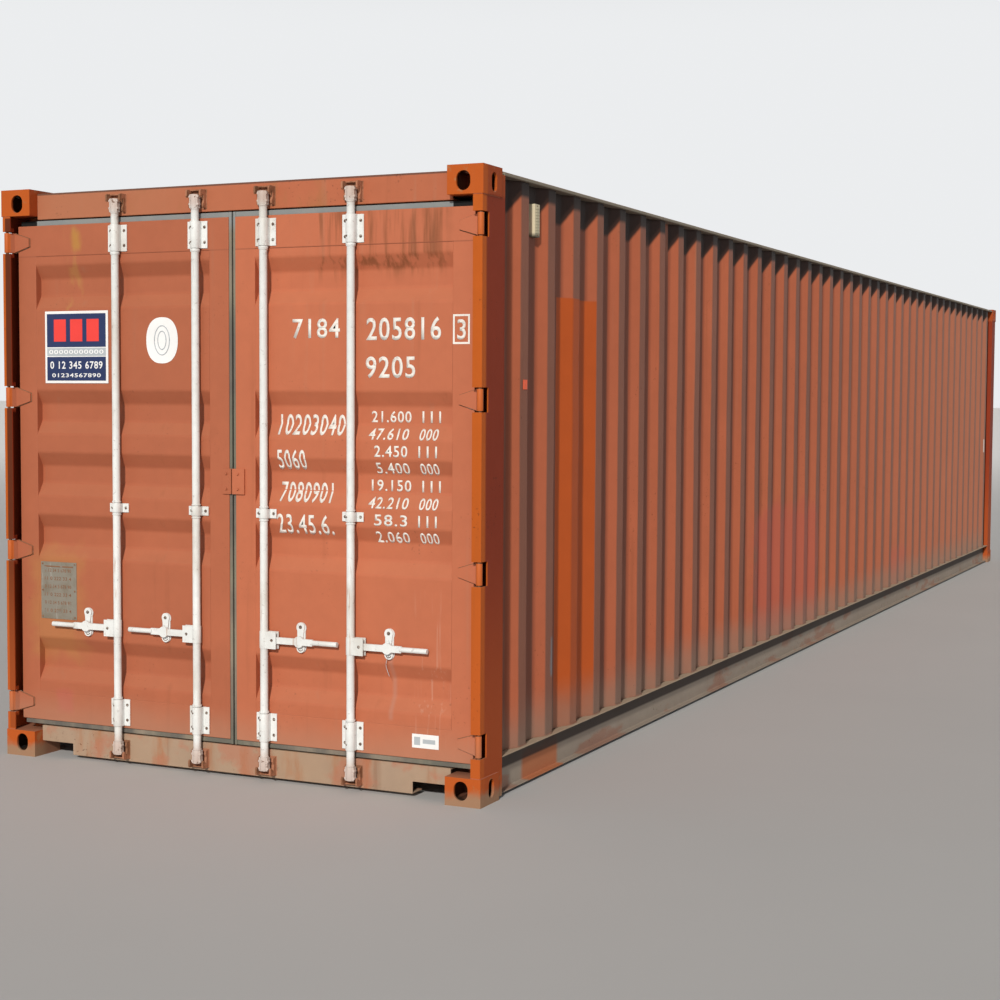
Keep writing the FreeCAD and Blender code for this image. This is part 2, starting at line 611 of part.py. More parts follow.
def keepers():
    """Cam keepers on the header and the sill: two lugs and a bridge beyond the end of the bar."""
    rights = []
    y_span = (inward("keeper_front_in"), inward("cross_face_in"))
    for place in bar_places():
        for end, away in (("bar_high", 1), ("bar_low", -1)):
            near = f"({end} + {away} * keeper_space)"
            far = f"({end} + {away} * (keeper_space + keeper_bridge))"
            inner = f"({end} - {away} * (keeper_tall - keeper_space))"
            lug_z = (inner, far) if away > 0 else (far, inner)
            bridge_z = (near, far) if away > 0 else (far, near)
            lugs = [box((f"{place} - keeper_outer", f"{place} - keeper_inner"), y_span, lug_z),
                    box((f"{place} + keeper_inner", f"{place} + keeper_outer"), y_span, lug_z),
                    box((f"{place} - keeper_inner", f"{place} + keeper_inner"), y_span, bridge_z)]
            rights.append(joined(lugs))
    right = joined(rights)
    joined([right, mirrored(right)], "cam_keepers")


def locking_bars():
    """Upright locking bars, each with a cam at both ends, collars at its brackets and a handle hub."""
    for number, place in enumerate(bar_places()):
        middle = (place, inward("bar_in"))
        pieces = [rod("Z", "bar_radius", "bar_low", "bar_high", *middle)]
        for low, high in (("bar_low", "bar_low + cam_tall"), ("bar_high - cam_tall", "bar_high")):
            pieces.append(rod("Z", "cam_radius", low, high, *middle))
            cam_depth = (inward("(bar_in - cam_half_y)"), inward("(bar_in + cam_half_y)"))
            pieces.append(box((f"{place} - cam_half_x", f"{place} + cam_half_x"), cam_depth, (low, high)))
        for under in ("top_bracket_low - collar_space - collar_tall", "low_bracket_high + collar_space"):
            pieces.append(rod("Z", "collar_radius", under, f"{under} + collar_tall", *middle))
        pieces += handle_hub(place, middle)
        bar = joined(pieces)
        bar.Label = f"lock_bar_{3 + number}"
        mirrored(bar, f"lock_bar_{2 - number}")


def handle_hub(place, middle):
    """The sleeve, two cheeks and cross pin that carry a handle."""
    level = ("handle_level - hub_half", "handle_level + hub_half")
    pieces = [rod("Z", "hub_radius", *level, *middle)]
    inner, outer = "cheek_half_gap", "(cheek_half_gap + cheek_steel)"
    for low, high in ((f"bar_in - {outer}", f"bar_in - {inner}"), (f"bar_in + {inner}", f"bar_in + {outer}")):
        cheek_depth = (inward(f"({low})"), inward(f"({high})"))
        pieces.append(box((place, f"{place} + cheek_reach"), cheek_depth, level))
    sunk = f"({outer} - handle_pin_sunk)"
    pieces.append(rod("Y", "handle_pin_radius", inward(f"(bar_in - {sunk})"), inward(f"(bar_in + {sunk})"),
                      f"{place} + handle_pin_out", "handle_level"))
    return pieces


def handles():
    """Flat handles with an eye on the hub's pin, a boss at the catch and a round grip."""
    for number, place in enumerate(bar_places()):
        y_span = (inward("(bar_in - handle_steel / 2)"), inward("(bar_in + handle_steel / 2)"))
        pin = f"({place} + handle_pin_out)"
        eye = rod("Y", "eye_radius", *y_span, pin, "handle_level")
        flat = box((pin, f"{place} + grip_start + grip_sunk"), y_span,
                   ("handle_level - bar_depth / 2", "handle_level + bar_depth / 2"))
        boss = rod("Y", "boss_half", *y_span, f"{place} + catch_out", "handle_level")
        grip = rod("X", "grip_radius", f"{place} + grip_start", f"{place} + handle_tip",
                   inward("bar_in"), "handle_level")
        bore = rod("Y", "handle_pin_radius + pin_clearance", inward("0"), inward("door_face_in"),
                   pin, "handle_level")
        handle = without(joined([eye, flat, boss, grip]), [bore])
        handle.Label = f"handle_{3 + number}"
        mirrored(handle, f"handle_{2 - number}")


def handle_rests_and_catches():
    """On each door a fixed rest behind each handle, and a hanging catch on the rest's rivet."""
    rests = []
    pivot = "(handle_level + catch_pivot)"
    foot = f"({pivot} - catch_reach)"
    for number, place in enumerate(bar_places()):
        out = f"({place} + catch_out)"
        plate_y = (inward("(door_face_in - rest_steel)"), inward("door_face_in"))
        plate = box((f"{out} - rest_half", f"{out} + rest_half"), plate_y,
                    (f"{foot} - catch_radius", f"{pivot} + catch_radius"))
        rivet = rod("Y", "rivet_radius", inward("catch_front_in"), inward("door_face_in"), out, pivot)
        rests.append(joined([plate, rivet]))
        y_span = (inward("catch_front_in"), inward("(catch_front_in + catch_steel)"))
        strap = box((f"{out} - catch_radius", f"{out} + catch_radius"), y_span, (foot, pivot))
        rounds = [rod("Y", "catch_radius", *y_span, out, level) for level in (pivot, foot)]
        bore = rod("Y", "rivet_radius + pin_clearance", inward("0"), inward("door_face_in"), out, pivot)
        catch = without(joined([strap] + rounds), [bore])
        catch.Label = f"handle_catch_{3 + number}"
        mirrored(catch, f"handle_catch_{2 - number}")
    both_doors(joined(rests), "handle_rests")


def door_plates():
    """Overlap plates at the meeting stiles, and a blank data plate on the left-hand door."""
    z_span = ("overlap_low", "overlap_high")
    cover = box(("overlap_half_slit", "overlap_right"),
                (inward("overlap_front_in"), inward("(overlap_front_in + overlap_steel)")), z_span)
    pad = box(("door_gap_half", "overlap_right"),
              (inward("(overlap_front_in + overlap_steel)"), inward("door_face_in")), z_span)
    joined([cover, pad], "door_right_overlap_plate")
    box(("-overlap_left", "-overlap_half_slit"), (inward("overlap_back_in"), inward("door_face_in")),
        z_span).Label = "door_left_overlap_plate"
    box(("-data_left", "-data_right"), (inward("(door_face_in - sheet_steel)"), inward("door_face_in")),
        ("data_low", "data_high")).Label = "door_left_data_plate"


# ---------------------------------------------------------------- writing

NODES = """
door_end_castings closed_end_castings door_posts closed_end_posts hinge_pins bottom_side_rails
top_side_rails door_header door_sill closed_end_header closed_end_sill side_wall_left side_wall_right
closed_end_wall roof_panel cross_members gooseneck_tunnel floor_boards ventilators cam_keepers
door_left_frame door_left_panel door_left_seal door_left_hinges door_left_bar_brackets
door_left_handle_rests door_left_overlap_plate door_left_data_plate
door_right_frame door_right_panel door_right_seal door_right_hinges door_right_bar_brackets
door_right_handle_rests door_right_overlap_plate
lock_bar_1 lock_bar_2 lock_bar_3 lock_bar_4 handle_1 handle_2 handle_3 handle_4
handle_catch_1 handle_catch_2 handle_catch_3 handle_catch_4
""".split()


def check_document():
    """Stop if any object failed to compute or any labelled piece has no sound shape."""
    failed = [item.Label for item in DOC.Objects if {"Invalid", "Error"} & set(item.State)]
    for name in NODES:
        shape = DOC.getObjectsByLabel(name)[0].Shape
        if shape.isNull() or not shape.isValid() or not shape.Solids:
            failed.append(name)
    if failed:
        sys.exit("failed: " + ", ".join(failed))


def write_parts():
    """Write every piece to its own file."""
    os.makedirs("parts", exist_ok=True)
    for name in NODES:
        shape = DOC.getObjectsByLabel(name)[0].Shape
        shape.exportStep(f"parts/{name}.step")
        print(name, len(shape.Solids), "solids", round(shape.Volume / 1000), "cm3")


fill_sheet()
for make in (corner_castings, door_posts, hinge_pins, closed_end_posts, side_rails, door_end_members,
             closed_end_members, side_walls, closed_end_wall, roof_panel, underframe, ventilators,
             door_frames, door_panels, door_seals, door_hinges, bar_brackets, keepers, locking_bars,
             handles, handle_rests_and_catches, door_plates):
    make()
DOC.recompute()
check_document()
write_parts()
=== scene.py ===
import math

import bmesh
import bpy
from mathutils import Matrix, Vector, noise


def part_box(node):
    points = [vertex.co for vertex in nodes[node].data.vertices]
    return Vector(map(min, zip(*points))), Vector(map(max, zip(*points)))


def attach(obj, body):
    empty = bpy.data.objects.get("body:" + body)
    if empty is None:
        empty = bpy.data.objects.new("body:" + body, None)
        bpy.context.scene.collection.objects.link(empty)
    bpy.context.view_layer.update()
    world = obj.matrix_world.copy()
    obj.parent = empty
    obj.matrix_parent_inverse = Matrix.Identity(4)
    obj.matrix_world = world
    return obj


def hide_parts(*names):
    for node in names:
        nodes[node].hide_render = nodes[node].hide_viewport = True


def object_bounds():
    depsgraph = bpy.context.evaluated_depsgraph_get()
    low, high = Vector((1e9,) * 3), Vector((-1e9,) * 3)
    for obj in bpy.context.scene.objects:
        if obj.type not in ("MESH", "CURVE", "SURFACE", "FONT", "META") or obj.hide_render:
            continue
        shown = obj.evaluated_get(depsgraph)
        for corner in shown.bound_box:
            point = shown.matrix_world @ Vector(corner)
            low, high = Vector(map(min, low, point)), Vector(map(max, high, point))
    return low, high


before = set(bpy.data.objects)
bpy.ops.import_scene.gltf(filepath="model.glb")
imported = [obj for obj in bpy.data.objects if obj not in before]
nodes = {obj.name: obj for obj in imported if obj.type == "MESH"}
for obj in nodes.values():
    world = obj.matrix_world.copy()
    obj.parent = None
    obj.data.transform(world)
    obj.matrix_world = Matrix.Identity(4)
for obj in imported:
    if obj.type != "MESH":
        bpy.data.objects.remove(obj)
cad_low, cad_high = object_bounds()

# ------------------------------------------------------------- sizes, metres

SIDE_FACE = 1.197           # outer face of the side-wall ribs
RIB_DEEP = 0.036
VALLEY_FACE = SIDE_FACE - RIB_DEEP
WALL_RIBS = (0.135, 0.068, 0.076, 0.072, 41)    # first valley, slope, flat, valley, count
WALL_PITCH = 2 * WALL_RIBS[1] + WALL_RIBS[2] + WALL_RIBS[3]
WALL_ENDS = (-5.882, 5.918)
END_RIBS = (0.018, 0.110, 0.104, 8)             # slope, flat, valley, count
ROOF_RIBS = (0.014, 0.091, 0.090, 57)
DOOR_FACE = -6.050
RECESS_DEEP = 0.036
RECESS_REACH = 0.100        # from a recess's middle to its outer bends
RECESS_FLAT = 0.038         # and to its inner bends
BAR_Y = -6.073
BARS = (-0.601, -0.174, 0.174, 0.601)
BAR_ENDS = ((0.052, 1), (2.530, -1))            # height, and the way toward the bar's middle
HINGES = [0.249 + 0.702 * i for i in range(4)]
RECESSES = (0.454, 1.020, 1.303, 1.586, 2.152)
BRACKETS = ((0.180, 0.300), (1.142, 1.182), (2.300, 2.417))
HUB_OUT = 0.046             # handle pin distance from its bar
HUB_Z = 0.621
CATCH_Z = 0.683
SHEET = 0.002

# ------------------------------------------------------------- paint colours

WALL_RED = (0.425, 0.112, 0.050)
RIB_FACE_SHADE = (0.268, 0.100, 0.060)
DOOR_RED = (0.470, 0.138, 0.066)
POST_RED = (0.260, 0.036, 0.012)
BRIGHT_ORANGE = (0.530, 0.112, 0.014)
SALMON = (0.430, 0.125, 0.058)
RUST = (0.190, 0.062, 0.022)
DARK_RUST = (0.060, 0.024, 0.014)
DUST = (0.330, 0.235, 0.160)
OFF_WHITE = (0.780, 0.800, 0.790)
SHADE_BLACK = (0.013, 0.008, 0.006)
WALL_ORANGE = (0.440, 0.078, 0.010)
VALLEY_SHADE = (0.190, 0.050, 0.026)
FAR_WALL_DUST = (0.355, 0.190, 0.125)
WALL_FOOT_DUST = (0.245, 0.185, 0.140)
SCRAPE_BLUE = (0.200, 0.240, 0.270)
CHALK_MARK = (0.750, 0.720, 0.680)
ROOF_DIRT = (0.300, 0.220, 0.160)
ROOF_RUST = (0.400, 0.160, 0.090)
YELLOW_SPOT = (0.430, 0.215, 0.045)
DRIP_GREY = (0.400, 0.250, 0.200)
SCUFF_PALE = (0.620, 0.420, 0.330)
SCRUBBED_PINK = (0.440, 0.100, 0.070)
SEAM_RED = (0.300, 0.090, 0.045)
DOOR_FOOT_DUST = (0.390, 0.210, 0.135)
LEDGE_DUST = (0.470, 0.225, 0.130)
INNER_DOOR_RED = (0.330, 0.150, 0.095)
POST_EDGE_SHADE = (0.070, 0.016, 0.008)
LOW_POST_ORANGE = (0.450, 0.092, 0.018)
CASTING_ORANGE = (0.450, 0.088, 0.016)
CASTING_RIM = (0.330, 0.180, 0.080)
CASTING_MUD = (0.290, 0.205, 0.130)
CASTING_TOP_DUST = (0.360, 0.210, 0.140)
INNER_POST_RED = (0.250, 0.100, 0.060)
HEADER_TAN = (0.400, 0.170, 0.090)
HEADER_BLEED = (0.330, 0.140, 0.050)
HEADER_EDGE_SHADOW = (0.090, 0.045, 0.032)
SILL_TAN = (0.400, 0.265, 0.170)
SILL_GREY = (0.340, 0.250, 0.185)
SILL_BLEED = (0.360, 0.130, 0.045)
SILL_OLD_RED = (0.420, 0.150, 0.085)
TOP_RAIL_SHADE = (0.095, 0.052, 0.045)
TOP_RAIL_EDGE = (0.290, 0.255, 0.185)
LOW_RAIL_GREY = (0.290, 0.235, 0.190)
LOW_RAIL_TAN = (0.380, 0.320, 0.260)
LOW_RAIL_RED = (0.330, 0.105, 0.050)
LOW_RAIL_ORANGE = (0.500, 0.140, 0.035)
LOW_RAIL_LEDGE = (0.430, 0.330, 0.230)
LOW_RAIL_FLANGE_SHADOW = (0.040, 0.028, 0.024)
LOW_RAIL_LIP_SHADE = (0.035, 0.030, 0.028)
UNDERSIDE_BROWN = (0.090, 0.055, 0.042)
ROAD_SPLASH = (0.210, 0.165, 0.125)
GEAR_DIRT = (0.430, 0.370, 0.280)
GEAR_END_RUST = (0.440, 0.270, 0.200)
GEAR_RUST_TAIL = (0.370, 0.170, 0.070)
GEAR_CHIP = (0.130, 0.055, 0.026)
KEEPER_RED = (0.400, 0.170, 0.095)
KEEPER_RUST = (0.210, 0.095, 0.048)
STEEL_BROWN = (0.160, 0.075, 0.040)
STEEL_TAN = (0.300, 0.150, 0.080)
STEEL_SHINE = (0.420, 0.390, 0.350)
PIN_BROWN = (0.130, 0.085, 0.065)
PIN_WORN = (0.520, 0.490, 0.440)
RUBBER_DARK = (0.120, 0.112, 0.098)
RUBBER_DUST = (0.290, 0.240, 0.180)
RUBBER_MOSS = (0.190, 0.205, 0.140)
RUBBER_TOP = (0.250, 0.275, 0.290)
RUBBER_SHADOW = (0.006, 0.006, 0.006)
BOARD_PALE = (0.300, 0.165, 0.085)
BOARD_DARK = (0.170, 0.085, 0.045)
BOARD_TRACKS = (0.105, 0.080, 0.062)
BOARD_JOINT = (0.030, 0.022, 0.018)
BOARD_SCREW = (0.150, 0.140, 0.130)
VENT_CREAM = (0.600, 0.530, 0.360)
VENT_GRIME = (0.300, 0.260, 0.150)
VENT_FOOT_SHADE = (0.060, 0.055, 0.035)
PLATE_GREY = (0.285, 0.260, 0.215)
PLATE_STAIN = (0.195, 0.150, 0.100)
PLATE_SCRATCH = (0.420, 0.400, 0.360)
SIGN_FLAKE = (0.300, 0.150, 0.095)
WELD_RED = (0.400, 0.115, 0.060)
ROSY_PAINT = (0.430, 0.090, 0.062)
YELLOW_STAIN = (0.420, 0.205, 0.062)


# ------------------------------------------------------------- paint helpers

class Wire:
    """A value in a paint recipe, with arithmetic written as plain operators."""

    def __init__(self, paint, socket):
        self.paint = paint
        self.socket = socket

    def worked(self, operation, first, second):
        return self.paint.node("ShaderNodeMath", {"operation": operation}, {0: first, 1: second})

    def __add__(self, other):
        return self.worked("ADD", self, other)

    def __radd__(self, other):
        return self.worked("ADD", other, self)

    def __sub__(self, other):
        return self.worked("SUBTRACT", self, other)

    def __rsub__(self, other):
        return self.worked("SUBTRACT", other, self)

    def __mul__(self, other):
        return self.worked("MULTIPLY", self, other)

    def __rmul__(self, other):
        return self.worked("MULTIPLY", other, self)

    def __mod__(self, other):
        return self.worked("FLOORED_MODULO", self, other)

    def __abs__(self):
        return self.paint.node("ShaderNodeMath", {"operation": "ABSOLUTE"}, {0: self})


class Paint:
    """One material and the recipe behind it, in the container's own coordinates."""

    def __init__(self, name):
        self.material = bpy.data.materials.new(name)
        self.material.use_nodes = True
        self.tree = self.material.node_tree
        self.surface = [n for n in self.tree.nodes if n.type == "BSDF_PRINCIPLED"][0]
        self.place = self.node("ShaderNodeTexCoord", output="Object")
        self.x, self.y, self.z = self.parts(self.place)
        facing = self.node("ShaderNodeTexCoord", output="Normal")
        self.face_x, self.face_y, self.face_z = self.parts(facing)

    def node(self, kind, settings=None, values=None, output=0):
        made = self.tree.nodes.new(kind)
        for key, value in (settings or {}).items():
            setattr(made, key, value)
        for key, value in (values or {}).items():
            self.feed(made.inputs[key], value)
        return Wire(self, made.outputs[output])

    def feed(self, socket, value):
        if isinstance(value, Wire):
            self.tree.links.new(value.socket, socket)
        elif socket.type == "RGBA":
            socket.default_value = (*value, 1.0)
        else:
            socket.default_value = value

    def parts(self, vector):
        split = self.node("ShaderNodeSeparateXYZ", values={0: vector})
        outputs = split.socket.node.outputs
        return [Wire(self, outputs[i]) for i in range(3)]

    def blend(self, first, second, amount):
        return self.node("ShaderNodeMix", {"data_type": "RGBA"},
                         {0: amount, 6: first, 7: second}, output=2)

    def toned(self, colour, amount):
        return self.node("ShaderNodeVectorMath", {"operation": "SCALE"}, {0: colour, "Scale": amount})

    def rise(self, value, start, end):
        """0 below start, 1 above end, and smooth between."""
        return self.node("ShaderNodeMapRange", {"interpolation_type": "SMOOTHSTEP"},
                         {"Value": value, "From Min": start, "From Max": end})

    def fall(self, value, start, end):
        """1 below start, 0 above end, and smooth between."""
        return 1 - self.rise(value, start, end)

    def band(self, value, low, high, soft):
        """1 between low and high, and 0 outside them."""
        return self.rise(value, low - soft, low + soft) * self.fall(value, high - soft, high + soft)

    def cloud(self, scale, stretch=(1, 1, 1), detail=3.0, rough=0.55):
        stretched = self.node("ShaderNodeVectorMath", {"operation": "MULTIPLY"},
                              {0: self.place, 1: stretch})
        return self.node("ShaderNodeTexNoise", None,
                         {"Vector": stretched, "Scale": scale, "Detail": detail, "Roughness": rough})

    def patch(self, x=None, y=None, z=None, soft=0.02, wobble=0.0):
        """A soft-edged area between the given limits."""
        mask = 1.0
        drift = (self.cloud(9.0) - 0.5) * wobble if wobble else None
        for value, limits in ((self.x, x), (self.y, y), (self.z, z)):
            if limits is not None:
                moved = value + drift if wobble else value
                mask = self.band(moved, limits[0], limits[1], soft) * mask
        return mask

    def done(self, colour, roughness, height=None, metallic=None, strength=0.25, distance=0.002):
        self.surface.inputs["Specular IOR Level"].default_value = 0.28
        self.feed(self.surface.inputs["Base Color"], colour)
        self.feed(self.surface.inputs["Roughness"], roughness)
        if metallic is not None:
            self.feed(self.surface.inputs["Metallic"], metallic)
        if height is not None:
            bump = self.node("ShaderNodeBump", None,
                             {"Strength": strength, "Distance": distance, "Height": height})
            self.feed(self.surface.inputs["Normal"], bump)
        return self.material


def worn(paint, colour, rusting=0.6, streaking=0.5, fading=0.35):
    """Faded, scratched and lightly rusted paint over steel, as a colour."""
    broad = paint.cloud(0.8)
    fine = paint.cloud(17.0, detail=5.0)
    shade = paint.toned(colour, 0.80 + broad * 0.26 + fine * 0.14)
    pale = paint.toned(colour, 1.25)
    shade = paint.blend(shade, pale, paint.rise(paint.cloud(2.3, detail=5.0), 0.52, 0.78) * fading)
    runs = paint.cloud(15.0, (1, 1, 0.05), detail=4.0)
    shade = paint.blend(shade, RUST, paint.rise(runs, 0.60, 0.78) * (0.45 * streaking))
    washed = paint.cloud(23.0, (1, 1, 0.03), detail=3.0)
    shade = paint.blend(shade, DUST, paint.rise(washed, 0.60, 0.85) * (0.40 * streaking))
    where = paint.rise(paint.cloud(3.1), 0.50, 0.66)
    chips = paint.rise(paint.cloud(61.0, detail=6.0, rough=0.7), 0.60, 0.66) * where * rusting
    shade = paint.blend(shade, DARK_RUST, chips)
    return shade, chips


def worn_finish(paint, shade, chips, roughness=0.58, strength=0.22):
    grain = paint.cloud(140.0, detail=2.0)
    ripple = paint.cloud(4.5)
    height = grain * 0.25 + ripple * 0.9 - chips * 0.5
    return paint.done(shade, roughness + chips * 0.3 + grain * 0.08, height, strength=strength)


# ------------------------------------------------------------- the materials

def body_paint():
    paint = Paint("faded body paint")
    # Painted shade: the ribs' outward faces are painted darker than their slopes, for light that only
    # grazes them.
    outward = paint.rise(abs(paint.face_x), 0.93, 0.99)
    shade, chips = worn(paint, paint.blend(WALL_RED, RIB_FACE_SHADE, outward), rusting=0.45, streaking=0.55)
    # Painted shadow: the valleys between the ribs are painted darker, for the shadow the ribs cast into
    # them.
    valley = paint.fall(abs(paint.x), VALLEY_FACE + 0.001, VALLEY_FACE + 0.012)
    outside = paint.rise(abs(paint.x), VALLEY_FACE - SHEET - 0.001, VALLEY_FACE - 0.0015)
    shade = paint.blend(shade, VALLEY_SHADE, valley * outside * 0.60)
    shade = wall_marks(paint, shade)
    # Painted shadow: the top rail flange's shadow, painted near black, reaching lower where the wall
    # lies deeper.
    depth = SIDE_FACE - abs(paint.x)
    rail_shadow = paint.rise(paint.z + depth * 2.1 + (paint.cloud(6.0) - 0.5) * 0.02, 2.496, 2.520)
    rail_shadow = rail_shadow * outside * paint.fall(paint.face_z, 0.2, 0.6)
    shade = paint.blend(shade, SHADE_BLACK, rail_shadow * 0.95)
    upward = paint.rise(paint.face_z, 0.6, 0.95)
    dirty = paint.blend(ROOF_DIRT, ROOF_RUST, paint.cloud(3.0, detail=6.0))
    shade = paint.blend(shade, dirty, upward * 0.75)
    return worn_finish(paint, shade, chips)


def wall_marks(paint, shade):
    """The orange patch, rosy rubs, road dust, scrape and chalk mark on the side walls."""
    right = paint.rise(paint.x, 1.0, 1.1)
    fresh = paint.patch(y=(-5.222, -4.829), z=(0.150, 2.110), soft=0.004, wobble=0.006)
    orange = paint.toned(WALL_ORANGE, 0.9 + paint.cloud(6.0) * 0.2)
    shade = paint.blend(shade, orange, fresh * right)
    rosy = paint.patch(y=(-2.25, -0.78), z=(0.13, 0.97), soft=0.09, wobble=0.35) * 0.55
    rosy = rosy + paint.patch(y=(1.48, 2.07), z=(0.13, 0.46), soft=0.06, wobble=0.20) * 0.5
    shade = paint.blend(shade, ROSY_PAINT, rosy * right)
    far = paint.rise(paint.y, -2.5, 6.0)
    shade = paint.blend(shade, FAR_WALL_DUST, far * 0.38)
    low = paint.fall(paint.z + (paint.cloud(5.0) - 0.5) * 0.12, 0.17, 0.42)
    shade = paint.blend(shade, WALL_FOOT_DUST, low * 0.62)
    scrape = paint.patch(y=(-5.34, -5.27), z=(0.43, 0.60), soft=0.012, wobble=0.03) * right
    shade = paint.blend(shade, SCRAPE_BLUE, scrape * 0.7)
    mark = paint.patch(y=(5.675, 5.700), z=(1.14, 1.27), soft=0.006) * right
    return paint.blend(shade, CHALK_MARK, mark)


def door_paint():
    paint = Paint("faded door paint")
    shade, chips = worn(paint, DOOR_RED, rusting=0.35, streaking=0.45)
    left = paint.fall(paint.x, -0.01, 0.01)
    shade = paint.blend(shade, paint.toned(shade, 0.84), left)
    knuckle = paint.rise(abs(paint.x), 1.183, 1.187)
    shade = paint.blend(shade, BRIGHT_ORANGE, knuckle * 0.85)
    shade = door_stains(paint, shade)
    seam = paint.band(paint.z, 2.289, 2.294, 0.002)
    shade = paint.blend(shade, SEAM_RED, seam * 0.8)
    low = paint.fall(paint.z + (paint.cloud(5.0) - 0.5) * 0.10, 0.15, 0.34)
    shade = paint.blend(shade, DOOR_FOOT_DUST, low * 0.5)
    upward = paint.rise(paint.face_z, 0.3, 0.8)
    shade = paint.blend(shade, LEDGE_DUST, upward * 0.35)
    inner = paint.rise(paint.face_y, 0.3, 0.8)
    shade = paint.blend(shade, INNER_DOOR_RED, inner * 0.5)
    return worn_finish(paint, shade, chips, roughness=0.55)


def door_stains(paint, shade):
    """Yellow and rusty runs, a grey drip, scuffs and a scrubbed spot on the doors."""
    broken = paint.rise(paint.cloud(19.0, (1, 1, 0.30), detail=5.0), 0.44, 0.60)
    trail = paint.patch(x=(-0.892, -0.832), z=(1.99, 2.42), soft=0.014, wobble=0.05)
    shade = paint.blend(shade, YELLOW_STAIN, trail * broken * 0.55)
    spot = paint.patch(x=(-0.858, -0.808), z=(2.315, 2.405), soft=0.018, wobble=0.05)
    shade = paint.blend(shade, YELLOW_SPOT, spot * 0.75)
    drip = paint.patch(x=(0.772, 0.790), z=(0.32, 0.60), soft=0.009)
    shade = paint.blend(shade, DRIP_GREY, drip * 0.32)
    around = paint.patch(x=(-1.09, -0.82), z=(0.46, 0.95), soft=0.06, wobble=0.20)
    shade = paint.blend(shade, YELLOW_STAIN, around * 0.40)
    drips = paint.patch(x=(0.40, 1.02), z=(2.18, 2.45), soft=0.05, wobble=0.10)
    thread = paint.rise(paint.cloud(26.0, (1, 1, 0.06), detail=4.0), 0.48, 0.66)
    shade = paint.blend(shade, RUST, drips * thread * 0.75)
    scuffs = paint.patch(x=(0.90, 1.03), z=(0.22, 0.85), soft=0.04, wobble=0.08)
    lines = paint.rise(paint.cloud(60.0, (1, 1, 0.04), detail=3.0), 0.55, 0.66)
    shade = paint.blend(shade, SCUFF_PALE, scuffs * lines * 0.22)
    rosy = paint.patch(x=(-0.96, -0.87), z=(0.21, 0.32), soft=0.02, wobble=0.06)
    return paint.blend(shade, SCRUBBED_PINK, rosy * 0.6)


def post_colour(paint):
    """Dark red posts with an orange front, carried round the right post's edge, and painted shade on the
    inner part of the left post's front.
    """
    front = paint.fall(paint.face_y, -0.85, -0.5) * paint.fall(paint.y, -6.0, -5.8)
    bend = paint.fall(paint.y, -6.066, -6.044) * paint.rise(paint.x, 1.0, 1.1)
    colour = paint.blend(POST_RED, BRIGHT_ORANGE, bend)
    colour = paint.blend(colour, paint.toned(BRIGHT_ORANGE, 0.86), front)
    # Painted shade: the inner part of the left post's front is painted near black.
    inner_edge_shade = paint.patch(x=(-1.202, -1.100), z=(0.125, 2.465), soft=0.003) * front
    return paint.blend(colour, POST_EDGE_SHADE, inner_edge_shade * 0.9)


def frame_paint():
    paint = Paint("post and casting paint")
    shade, chips = worn(paint, post_colour(paint), rusting=0.75, streaking=0.45)
    low = paint.fall(paint.z, 0.2, 1.2)
    shade = paint.blend(shade, LOW_POST_ORANGE, low * 0.60)
    casting = paint.rise(paint.z, 2.46, 2.49) + paint.fall(paint.z, 0.10, 0.13)
    shade = paint.blend(shade, CASTING_ORANGE, casting * 0.55)
    rim = paint.rise(paint.cloud(26.0, detail=5.0), 0.58, 0.70) * casting
    shade = paint.blend(shade, CASTING_RIM, rim * 0.6)
    mud = paint.fall(paint.z + (paint.cloud(14.0) - 0.5) * 0.09, 0.025, 0.080)
    shade = paint.blend(shade, CASTING_MUD, mud * 0.8)
    upward = paint.rise(paint.face_z, 0.6, 0.9)
    shade = paint.blend(shade, CASTING_TOP_DUST, upward * 0.6)
    # Painted shade: the insides of the corner castings are painted near black.
    across = paint.band(abs(paint.x), 1.066, 1.208, 0.004)
    along = paint.band(abs(paint.y), 5.943, 6.086, 0.004)
    levels = paint.band(paint.z, 0.010, 0.108, 0.004) + paint.band(paint.z, 2.483, 2.581, 0.004)
    shade = paint.blend(shade, SHADE_BLACK, across * along * levels * 0.9)
    within = paint.fall(abs(paint.x), 1.120, 1.150)
    within = within * paint.rise(paint.y, -6.05, -6.0) * paint.fall(paint.y, 5.9, 6.0)
    shade = paint.blend(shade, INNER_POST_RED, within * 0.6)
    made = worn_finish(paint, shade, chips, roughness=0.6, strength=0.4)
    paint.surface.inputs["Specular IOR Level"].default_value = 0.12
    return made


def header_paint():
    paint = Paint("door header paint")
    shade, chips = worn(paint, SALMON, rusting=0.7, streaking=0.8)
    left = paint.fall(paint.x, -0.7, 0.3)
    shade = paint.blend(shade, HEADER_TAN, left * 0.55)
    bleed = paint.rise(paint.cloud(5.0, (1, 1, 0.4), detail=5.0), 0.56, 0.72)
    shade = paint.blend(shade, HEADER_BLEED, bleed * 0.7)
    # Painted shadow: a dark line along the header's top edge, under the roof's edge.
    edge = paint.rise(paint.z, 2.565, 2.568)
    shade = paint.blend(shade, HEADER_EDGE_SHADOW, edge * 0.8)
    return worn_finish(paint, shade, chips, strength=0.35)


def sill_paint():
    paint = Paint("worn sill paint")
    dusty = paint.blend(SILL_TAN, SILL_GREY, paint.cloud(2.0))
    shade, chips = worn(paint, dusty, rusting=0.9, streaking=0.9)
    bleed = paint.rise(paint.cloud(7.0, (1, 1, 0.25), detail=5.0), 0.55, 0.70)
    shade = paint.blend(shade, SILL_BLEED, bleed * 0.75)
    old = paint.rise(paint.cloud(3.5, detail=5.0), 0.55, 0.62)
    shade = paint.blend(shade, SILL_OLD_RED, old * 0.55)
    return worn_finish(paint, shade, chips, roughness=0.7, strength=0.45)


